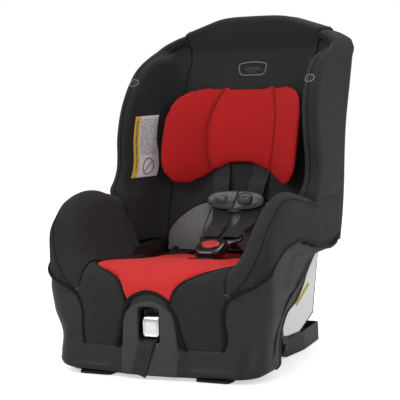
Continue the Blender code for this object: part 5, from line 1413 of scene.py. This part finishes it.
# folded and sewn end of the tail
strap("adjuster_webbing_fold", [(-15.2, 2.7, 22.5), (-17, 2.7, 16), (-19.4, 2.6, 9), (-19.8, 2.0, 7.8)], (1, 0, -0.28), 30, 1.3)
cross = [[(-17, 1.6, 52), (-9, 1.4, 45), (-1, 1.4, 38)], [(4, 1.6, 49), (-9, 1.4, 45), (-22, 1.4, 41)],
         [(-17, 1.6, 53), (-7, 1.6, 51), (4, 1.6, 50)], [(-22, 1.4, 40), (-11, 1.4, 38.5), (-1, 1.4, 37)]]
for k, ln in enumerate(cross):
    stitches("tail_stitch_%d" % k, [(x + 1.5, y - 0.9, z) for x, y, z in ln], "thread", 2.4, 1.0, 0.45)

# ------------------------------------------------------------------ chest clip
CD = Vector((0, 0.3, 1.0)).normalized()
CN = Vector((0, -CD.z, CD.y))
CLIP = Vector((0, strap_y(CLIP_Z), CLIP_Z))


def cl(u, d, n):
    return CLIP + BU * u + CD * d + CN * n


for sx, side in ((-1, "left"), (1, "right")):
    body = "clip_" + side
    # the two halves meet on a slanted line
    oval_ = [(63.4 * math.cos(t_) ** 0.74, 19.5 * math.copysign(abs(math.sin(t_)) ** 0.86, t_))
             for t_ in np.linspace(-math.pi / 2 + 1e-6, math.pi / 2 - 1e-6, 41)]
    oval_ = [q for q in oval_ if q[0] > 9]
    raw = [(sx * 0.4 - 5.5, -19.4)] + [(sx * u_, d_) for u_, d_ in oval_] + [(sx * 0.4 + 5.5, 19.4)]
    if sx < 0:
        raw = list(reversed(raw))
    outline = resample_closed(raw, 84)
    moulding("clip_shell_" + side, [tuple(p) for p in outline], 2.0, 8.2, "clip", cl, 2.2, body,
             ("chest_clip_" + side,), seg=4)
    rim = [(u * 0.985 + sx * 0.4, d * 0.93, 8.1) for u, d in outline]
    tube("clip_rim_" + side, [tuple(cl(*q)) for q in rim], 0.9, "clip", body, closed=True, step=2.5, sides=8)
    moulding("clip_bar_" + side, rounded([(sx * 14, -8.5), (sx * 60, -8.5), (sx * 60, 8.5), (sx * 14, 8.5)][::sx], 3),
             -4.6, -2.5, "clip_dark", cl, 0.6, body)
    moulding("clip_post_" + side, rounded([(sx * 58.2, -8), (sx * 61.4, -8), (sx * 61.4, 8), (sx * 58.2, 8)][::sx], 1),
             -4.2, 3.0, "clip_dark", cl, 0.5, body)
    if sx < 0:
        plate = rounded([(-42, -7), (-20, -7), (-18, 8), (-40, 8)], 2.5)
        moulding("clip_plate_left", plate, 7.9, 9.3, "clip", cl, 0.7, body)
        tube("clip_plate_edge", [tuple(cl(u, d, 8.4)) for u, d in plate], 0.7, "clip_dark", body, closed=True, step=2)
        moulding("clip_step_left", rounded([(-58, -9), (-48, -10), (-47, 9), (-58, 9)], 3), 7.9, 8.8, "clip", cl, 0.6, body)
    else:
        moulding("clip_release", superoval(15, 11.5, 40, 0.8, 22, 2), 7.9, 10.4, "clip", cl, 1.6, body)
        tube("clip_release_groove", [tuple(cl(u, d, 8.3)) for u, d in superoval(16.6, 13, 40, 0.8, 22, 2)], 0.7,
             "clip_dark", body, closed=True, step=2)
        for k in range(3):
            arc = [(22 + (4 + 2.8 * k) * math.cos(a), 2 + (3 + 2.2 * k) * math.sin(a))
                   for a in np.linspace(math.radians(20), math.radians(160), 9)]
            tube("clip_grip_%d" % k, [tuple(cl(u, d, 10.5)) for u, d in arc], 0.6, "clip", body, step=1.5, sides=8)
        # the tongue that reaches into the other half, and its tab below
        moulding("clip_tongue", rounded([(-20, -6), (5, -6), (5, 6), (-20, 6)], 2), 4.3, 6.4, "clip_dark", cl, 0.5, body)
moulding("clip_tab", rounded([(-14, -24.5), (10, -24.5), (12, -17), (-15, -17)], 2), 2.6, 6.8, "clip_dark", cl, 0.8, "clip_left")

# ------------------------------------------------------------------ buckle
shape = superoval(31, 29, 64, 0.62, 0, -4)
prof = [(-11, 0.80), (-10.4, 0.88), (-8.5, 0.95), (-4, 0.995), (0, 1.0), (4, 0.995), (7.5, 0.96), (9.8, 0.90), (10.9, 0.80),
        (11.1, 0.72)]
lps = [[(x * k, -4 + (y + 4) * k, n) for x, y in shape] for n, k in prof]
well = superoval(19.6, 12.1, 64, 0.8, 0, -2)
lps.append([((a[0] * 0.4 + b[0] * 0.6), (a[1] * 0.4 + b[1] * 0.6), 10.6)
            for a, b in zip([(x * 0.72, -4 + (y + 4) * 0.72) for x, y in shape], well)])
lps.append([(x * 1.04, -2 + (y + 2) * 1.04, 10.0) for x, y in well])
lps.append([(x, y, 8.8) for x, y in well])
lps.append([(x, y, 1.8) for x, y in well])
rings("buckle_housing", lps, "black", replaces=("buckle_body",), place=bk, sharp=60)
lps = [[(x * k, -2 + (y + 2) * k, n) for x, y in superoval(18.8, 11.3, 48, 0.8, 0, -2)]
       for n, k in ((6.7, 0.99), (10.6, 1.0), (12.2, 0.965), (12.9, 0.88), (12.6, 0.6), (12.2, 0.3), (12.1, 0.05))]
rings("buckle_button_red", lps, "button", "button", ("buckle_button",), place=bk, sharp=60)
tube("buckle_bezel", [tuple(bk(x, y, 10.9)) for x, y in superoval(21.4, 14.0, 48, 0.8, 0, -2)], 1.3, "black",
     closed=True, step=2)
for k, v in enumerate((-26.5, -29.0)):
    tube("buckle_grip_%d" % k, [tuple(bk(x, v, 6.5 - 2 * k)) for x in np.linspace(-16, 16, 9)], 1.0, "black", step=3)
for sx, side in SIDES:
    t = "tongue_" + side
    blade = [(sx * x, v) for x, v in ((6, 1.0), (24, 1.0), (24, 27), (42, 32), (44, 50), (40, 54), (4, 54), (1.2, 50), (1.2, 30),
                                      (6, 27))]
    if sx < 0:
        blade = list(reversed(blade))
    # moulded grip over the blade's wide end, open round the webbing slot
    o1 = resample_closed(rounded([(sx * x, v) for x, v in ((2.2, 28.5), (9, 26.5), (41, 31), (46, 36), (46, 50), (41, 56), (4, 56),
                                                          (2.0, 50))][::sx], 3), 80)
    i1 = resample_closed(rounded([(sx * (22.5 - 19.2), 38.2), (sx * (22.5 + 19.2), 38.2),
                                  (sx * (22.5 + 19.2), 43.8), (sx * (22.5 - 19.2), 43.8)][::sx], 1.2), 80)
    c = (sx * 22.5, 41)
    O1, I1 = around([tuple(q) for q in o1], 80, c), around([tuple(q) for q in i1], 80, c)
    lps = [[(u, v, -5.9) for u, v in I1], [(u, v, -6.6) for u, v in between(I1, O1, 0.25)],
           [(u, v, -6.6) for u, v in between(I1, O1, 0.85)], [(u, v, -5.6) for u, v in O1],
           [(u, v, -1.9) for u, v in O1], [(u, v, -0.8) for u, v in between(I1, O1, 0.85)],
           [(u, v, -0.8) for u, v in between(I1, O1, 0.25)], [(u, v, -1.5) for u, v in I1], [(u, v, -5.9) for u, v in I1]]
    rings("tongue_grip_" + side, lps, "black", t, cap=False, place=bk, sharp=55)
    B1 = around([tuple(q) for q in resample_closed(rounded(blade, 2.0, 3), 120)], 96, c)
    I2 = around([tuple(q) for q in i1], 96, c)
    lps = [[(u, v, -4.9) for u, v in I2], [(u, v, -5.0) for u, v in between(I2, B1, 0.9)], [(u, v, -4.6) for u, v in B1],
           [(u, v, -2.8) for u, v in B1], [(u, v, -2.4) for u, v in between(I2, B1, 0.9)], [(u, v, -2.5) for u, v in I2],
           [(u, v, -4.9) for u, v in I2]]
    rings("tongue_blade_" + side, lps, "steel", t, ("buckle_tongue_" + side,), cap=False, place=bk, sharp=50)

# ------------------------------------------------------------------ harness adjuster
LV = [(17.0, 78.5), (18.4, 77.9), (19.4, 78.6), (19.9, 86), (20.0, 98), (21.2, 103.6), (24, 106.6), (29, 108.2), (34, 108.0),
      (38, 105.6), (40.5, 102), (42, 98.6), (44.4, 97.0), (47.6, 96.9), (50.6, 98.3), (52.8, 101), (53.6, 104),
      (52.9, 107.6), (50.4, 110.8), (46.5, 112.6), (40, 114.2), (32, 115.3), (25.5, 115.0), (21.2, 113.2), (18.4, 109.6),
      (17.0, 105), (16.6, 98), (16.7, 86)]
lv = resample_closed(LV, 84)
xs = [(-16.8, .82), (-16.4, .94), (-15.4, 1.0), (-8, 1.0), (0, 1.0), (8, 1.0), (15.4, 1.0), (16.4, .94), (16.8, .82)]
cy, cz = 0.0, 0.0
lps = []
for x, k in xs:
    off = (1 - k) * 5.0
    ring = inset2d([tuple(q) for q in lv], off) if off else [tuple(q) for q in lv]
    lps.append([(x, y, z) for y, z in ring])
rings("lever_chrome", lps, "chrome", "lever", ("adjuster_lever",), sharp=50)
tube("lever_lip", [(-14.5, 17.4, 77.6), (0, 17.0, 77.4), (14.5, 17.4, 77.6)], 2.0, "chrome", "lever", step=3, sides=14)
for sx in (-1, 1):
    moulding("lever_bead_%d" % (sx + 1), rounded([(sx * 12.6 - 1.1, 84), (sx * 12.6 + 1.1, 84), (sx * 12.6 + 1.1, 103),
                                                  (sx * 12.6 - 1.1, 103)], 1.0), 0, 0.9, "chrome",
             lambda a, b, n: (a, 16.6 - n, b), 0.5, "lever")
for name in ("adjuster_frame", "adjuster_pin", "splitter_plate", "crotch_anchor", "hip_anchor_left", "hip_anchor_right",
             "stand_pin_left", "stand_pin_right"):
    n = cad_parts[name]
    n.data.materials.clear()
    n.data.materials.append(MAT["pin" if "stand" in name else "steel"])
    n.data.shade_smooth()
    n.data.set_sharp_from_angle(angle=math.radians(30))
    b = n.modifiers.new("edge", "BEVEL")
    b.width, b.segments, b.limit_method, b.angle_limit = 0.0004, 2, "ANGLE", math.radians(50)

# ------------------------------------------------------------------ recline stand and feet
OUT = [(152.3, 233), (152.3, 348), (133, 463), (-133, 463), (-152.3, 348), (-152.3, 233), (-122, 233), (-121, 300),
       (-108, 425), (108, 425), (121, 300), (122, 233)]
outline = [tuple(q) for q in resample_closed(rounded(OUT, [3, 14, 9, 9, 14, 3, 3, 10, 7, 7, 10, 3], 6), 260)]
inner = inset2d(outline, 4.2)
lps = [[(x, y, 0.8) for x, y in inset2d(outline, 1.2)], 
       [(x, y, 1.6) for x, y in outline], [(x, y, 20) for x, y in inset2d(outline, -0.0)],
       [(x, y, 36.0) for x, y in outline], [(x, y, 37.2) for x, y in inset2d(outline, 0.7)],
       [(x, y, 37.4) for x, y in inset2d(outline, 1.6)], [(x, y, 37.2) for x, y in inset2d(outline, 3.2)],
       [(x, y, 36.2) for x, y in inset2d(outline, 3.9)], [(x, y, 20) for x, y in inner], [(x, y, 5.0) for x, y in inner]]


def heel(q):
    """The pivot end is cut away below so that the stand can swing."""
    x, y, z = q
    lo = float(np.interp(y, [225, 238, 251, 262, 266], [9.0, 5.8, 5.8, 4.0, 0.2]))
    return (x, y, max(z, lo + (0.6 if z < 2 else 0)))


lps = [[heel(q) for q in lp] for lp in lps]
stand = rings("stand_moulding", lps, "shell_dark", "stand", ("recline_stand",), sharp=40)
for sx, side in SIDES:
    lps = []
    for x, r in ((122.4, 15.6), (122.0, 16.6), (123, 17.0), (151.4, 17.0), (152.4, 16.6), (152.2, 15.2), (152.0, 9.6),
                 (151.2, 9.0), (151.0, 5.3)):
        lps.append([(sx * x, 245 + r * math.cos(a), max(22 + r * math.sin(a), 5.9 if r > 16 else 0))
                    for a in np.linspace(0, 2 * math.pi, 48, endpoint=False)])
    rings("stand_lug_" + side, lps, "shell_dark", "stand", sharp=40)
    for k in range(4):
        f = k / 3.0
        y = 285 + 130 * f
        xa = float(np.interp(y, [233, 348, 463], [152.3, 152.3, 133])) - 3.2
        xb = float(np.interp(y, [233, 300, 425], [122, 121, 108])) + 3.2
        lps = [[(sx * xa, y - 1.1, z), (sx * xb, y - 1.1, z), (sx * xb, y + 1.1, z), (sx * xa, y + 1.1, z)] for z in (4.5, 28, 29)]
        rings("stand_web_%s_%d" % (side, k), lps, "shell_dark", "stand")
    pad = rounded([(sx * 88, 14.5), (sx * 156, 14.5), (sx * 156, 45), (sx * 88, 45)][::sx], 9, 6)
    pad = [tuple(q) for q in resample_closed(pad, 80)]
    moulding("foot_pad_" + side, pad, 0.0, 5.4, "rubber", None, 1.6, replaces=("front_pad_" + side,))
    for k in range(5):
        y = 18.5 + k * 5.4
        tube("foot_rib_%s_%d" % (side, k), [(sx * 94, y, 0.9), (sx * 122, y, 0.9), (sx * 150, y, 0.9)], 0.9, "rubber", step=10,
             sides=8)

# ------------------------------------------------------------------ labels
for sx, side in SIDES:
    lab = rounded([(238, 47), (262, 44.8), (309, 44.8), (373, 72.5), (378, 94), (405, 184), (398, 196), (376, 197), (352, 160),
                   (306, 110), (268, 102), (238, 95)], 3, 3)
    lab = [tuple(q) for q in resample_closed(lab, 110)]
    lps = [[(sx * 158.8, y, z) for y, z in lab], [(sx * 159.7, y, z) for y, z in lab],
           [(sx * 159.9, y, z) for y, z in inset2d(lab, 0.8)]]
    ob = rings("side_panel_label_" + side, lps, "side_label", replaces=("side_label_" + side,), sharp=80)
    uv = ob.data.uv_layers.new(name="UVMap")
    for loop in ob.data.loops:
        c = ob.data.vertices[loop.vertex_index].co
        uv.data[loop.index].uv = ((c.y * 1000 + Y_MID - 238) / 170.0, (c.z * 1000 - 44) / 156.0)
    # moulded wall of the belt path between the side panel and the rear box, with its slot
    outer_rail = [(227.4, 248, 210), (229, 214, 187), (228.6, 187, 162), (226.6, 164, 139), (223, 150, 128), (218, 123, 118), (214.5, 113, 110)]
    inner_rail = [(160.6, 371, 196), (160.6, 361, 178), (160.6, 350, 162), (160.6, 330, 139), (160.6, 304, 114.5),
                  (160.6, 267, 106), (160.6, 236, 98)]
    cup = []
    for p, q in zip(outer_rail, inner_rail):
        r_ = []
        for f in (0, .12, .3, .5, .7, .88, 1):
            e = f ** 1.15
            r_.append((sx * (p[0] + (q[0] - p[0]) * f ** 0.95), p[1] + (q[1] - p[1]) * e, p[2] + (q[2] - p[2]) * e - 3.0 * math.sin(math.pi * f)))
        cup.append(r_)

    def belt_slot(x, y, z):
        return 158 < z < 184 and 199 < abs(x) < 212
    sheet("belt_path_wall_" + side, cup, "shell", 60, 54, 2.2, out=(sx * 150, 180, 200), skip=belt_slot)
    crease = [(229.6, 226, 203), (231.4, 190, 178), (231.6, 150, 156), (229.8, 118, 137), (226.8, 100, 118), (221.6, 92, 96),
              (217.0, 90, 76), (214.8, 88, 58), (214.4, 84, 46), (214.6, 76, 36)]
    tube("side_crease_" + side, [(sx * x, y, z) for x, y, z in crease], [(0, 0.4), (0.1, 1.5), (0.85, 1.5), (1, 0.3)], "shell",
         step=4, sides=12)
    tube("label_trim_" + side, [(sx * 160.3, y, z - 1.2) for _, y, z in inner_rail[3:]], 1.3, "badge_yellow", step=3, sides=8)
lab = []
for z in np.linspace(339, 462, 12):
    face = wing_inner(z)
    ys = [q[1] for q in reversed(face)]
    xs_ = [q[0] for q in reversed(face)]
    y0 = wing_front(z) + 22.0
    lab.append([(-(float(np.interp(y0 + 7.6 * k, ys, xs_)) - 1.5), y0 + 7.6 * k, z) for k in range(11)])
wing_lab = sheet("wing_warning_label", lab, "wing_label", 40, 34, 0.7, out=("d", 1, -0.2, 0), uv01=True,
                 replaces=("wing_label",))
uvs = wing_lab.data.uv_layers[0]
for l_ in uvs.data:      # u runs back along the wing, v runs up
    pass
edge = [lab[0][k] for k in range(0, 11, 2)] + [lab[i][-1] for i in (3, 6, 9)] + [lab[-1][k] for k in range(10, -1, -2)] \
    + [lab[i][0] for i in (9, 6, 3)]

# ------------------------------------------------------------------ plain sewn badges
sk = Skin(back)
bad = rounded([(-32, 560), (-27.5, 537), (27.5, 537), (32, 560), (0, 564.5)], [7, 9, 9, 7, 30], 6)
bad = [(x, 470, z) for x, z in resample_closed(bad, 60)]
out_ = sk.lay(bad, Vector((0, 1, 0)), 0.5, smooth=False)
tube("badge_centre_ring", out_, 1.15, "badge", closed=True, step=3, sides=8)
for k, (w, z) in enumerate(((15, 551.5), (20, 548.0), (12, 543.5))):
    ln = sk.lay([(x, 470, z) for x in np.linspace(-w, w, 8)], Vector((0, 1, 0)), 0.35, 3)
    stitches("badge_centre_line_%d" % k, ln, "badge", 3.0, 1.2, 0.55)
for sx, side in SIDES:
    sk = Skin(wing[side])
    cen = (sx * 193.0, 529.0)
    ring = [(cen[0] + 9.0 * math.cos(a), 260, cen[1] + 6.6 * math.sin(a)) for a in np.linspace(0, 2 * math.pi, 28, endpoint=False)]
    out_ = sk.lay(ring, Vector((0, 1, 0)), 0.4, smooth=False)
    if len(out_) > 8:
        tube("badge_wing_ring_" + side, out_, 0.95, "badge", closed=True, step=2, sides=8)
        for k, dz in enumerate((-2.2, 0.3, 2.8)):
            ln = sk.lay([(cen[0] + t_, 260, cen[1] + dz) for t_ in np.linspace(-5.5, 5.5, 6)], Vector((0, 1, 0)), 0.3, 2)
            stitches("badge_wing_line_%s_%d" % (side, k), ln, "badge", 2.2, 1.0, 0.5)

# ------------------------------------------------------------------ foam
for name in ("eps_foam_back", "eps_foam_left", "eps_foam_right"):
    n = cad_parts[name]
    n.data.materials.clear()
    n.data.materials.append(MAT["foam"])
    if name != "eps_foam_back":       # a little inside the cover
        inset = n.modifiers.new("inset", "DISPLACE")
        inset.strength, inset.mid_level = -0.003, 0.0
    n.data.shade_smooth()
    n.data.set_sharp_from_angle(angle=math.radians(25))

# ------------------------------------------------------------------ stage
def stage_floor():
    bm = bmesh.new()
    bmesh.ops.create_grid(bm, x_segments=8, y_segments=8, size=9.0)
    me = bpy.data.meshes.new("floor")
    bm.to_mesh(me)
    bm.free()
    ob = bpy.data.objects.new("floor", me)
    ob.location = (0, 0, -0.0004)
    bpy.context.scene.collection.objects.link(ob)
    g = Nodes("floor_white")
    n = g.noise(4, 2, 0.5)
    g.out(g.mix(n, (0.93, 0.93, 0.93), (0.96, 0.96, 0.96)), 0.6)
    g.bsdf.inputs["Specular IOR Level"].default_value = 0.1
    seen = g.t.nodes.new("ShaderNodeLightPath")
    g.bsdf.inputs["Emission Color"].default_value = (1.0, 1.0, 1.0, 1.0)
    g.put(g.bsdf.inputs["Emission Strength"], g.math("MULTIPLY", seen.outputs["Is Camera Ray"], 0.55))
    me.materials.append(g.mat)


stage_floor()
world = bpy.data.worlds.new("studio")
bpy.context.scene.world = world
world.use_nodes = True
wt = world.node_tree
soft_sky = wt.nodes["Background"]
soft_sky.inputs[0].default_value = (1.0, 1.0, 1.0, 1.0)
soft_sky.inputs[1].default_value = 0.50
seen_sky = wt.nodes.new("ShaderNodeBackground")
seen_sky.inputs[0].default_value = (1.0, 1.0, 1.0, 1.0)
seen_sky.inputs[1].default_value = 1.0
ray = wt.nodes.new("ShaderNodeLightPath")
pick = wt.nodes.new("ShaderNodeMixShader")
wt.links.new(ray.outputs["Is Camera Ray"], pick.inputs[0])
wt.links.new(soft_sky.outputs[0], pick.inputs[1])
wt.links.new(seen_sky.outputs[0], pick.inputs[2])
wt.links.new(pick.outputs[0], wt.nodes["World Output"].inputs["Surface"])


def area(name, at, look, size, power, colour=(1, 1, 1)):
    la = bpy.data.lights.new(name, "AREA")
    la.shape, la.size, la.energy, la.color = "SQUARE", size, power, colour
    ob = bpy.data.objects.new(name, la)
    ob.location = at
    ob.rotation_mode = "QUATERNION"
    ob.rotation_quaternion = (Vector(look) - Vector(at)).to_track_quat("-Z", "Y")
    bpy.context.scene.collection.objects.link(ob)
    return ob


area("key", (-1.5, -2.1, 2.3), (0, 0, 0.3), 1.6, 34)
area("fill", (2.5, -1.6, 1.3), (0, 0, 0.3), 1.8, 14)
area("top", (0.2, 0.6, 2.9), (0, 0, 0.35), 1.8, 26)
area("rim", (1.7, 2.1, 1.4), (0, 0, 0.3), 1.2, 8)

cam = bpy.data.cameras.new("camera")
cam.sensor_width, cam.lens = 36.0, 134.55
camera = bpy.data.objects.new("camera", cam)
az, el, roll = math.radians(28.42), math.radians(5.10), math.radians(-1.98)
b = Vector((math.sin(az) * math.cos(el), -math.cos(az) * math.cos(el), math.sin(el)))
r = Vector((math.cos(az), math.sin(az), 0))
u = b.cross(r)
r2, u2 = r * math.cos(roll) + u * math.sin(roll), -r * math.sin(roll) + u * math.cos(roll)
camera.matrix_world = Matrix((
    (r2.x, u2.x, b.x, 0), (r2.y, u2.y, b.y, 0), (r2.z, u2.z, b.z, 0), (0, 0, 0, 1)))
camera.location = row(Vector((0, 220.9, 304.4)) + b * 2853.0)
bpy.context.scene.collection.objects.link(camera)
bpy.context.scene.camera = camera
bpy.context.scene.view_settings.view_transform = "Standard"
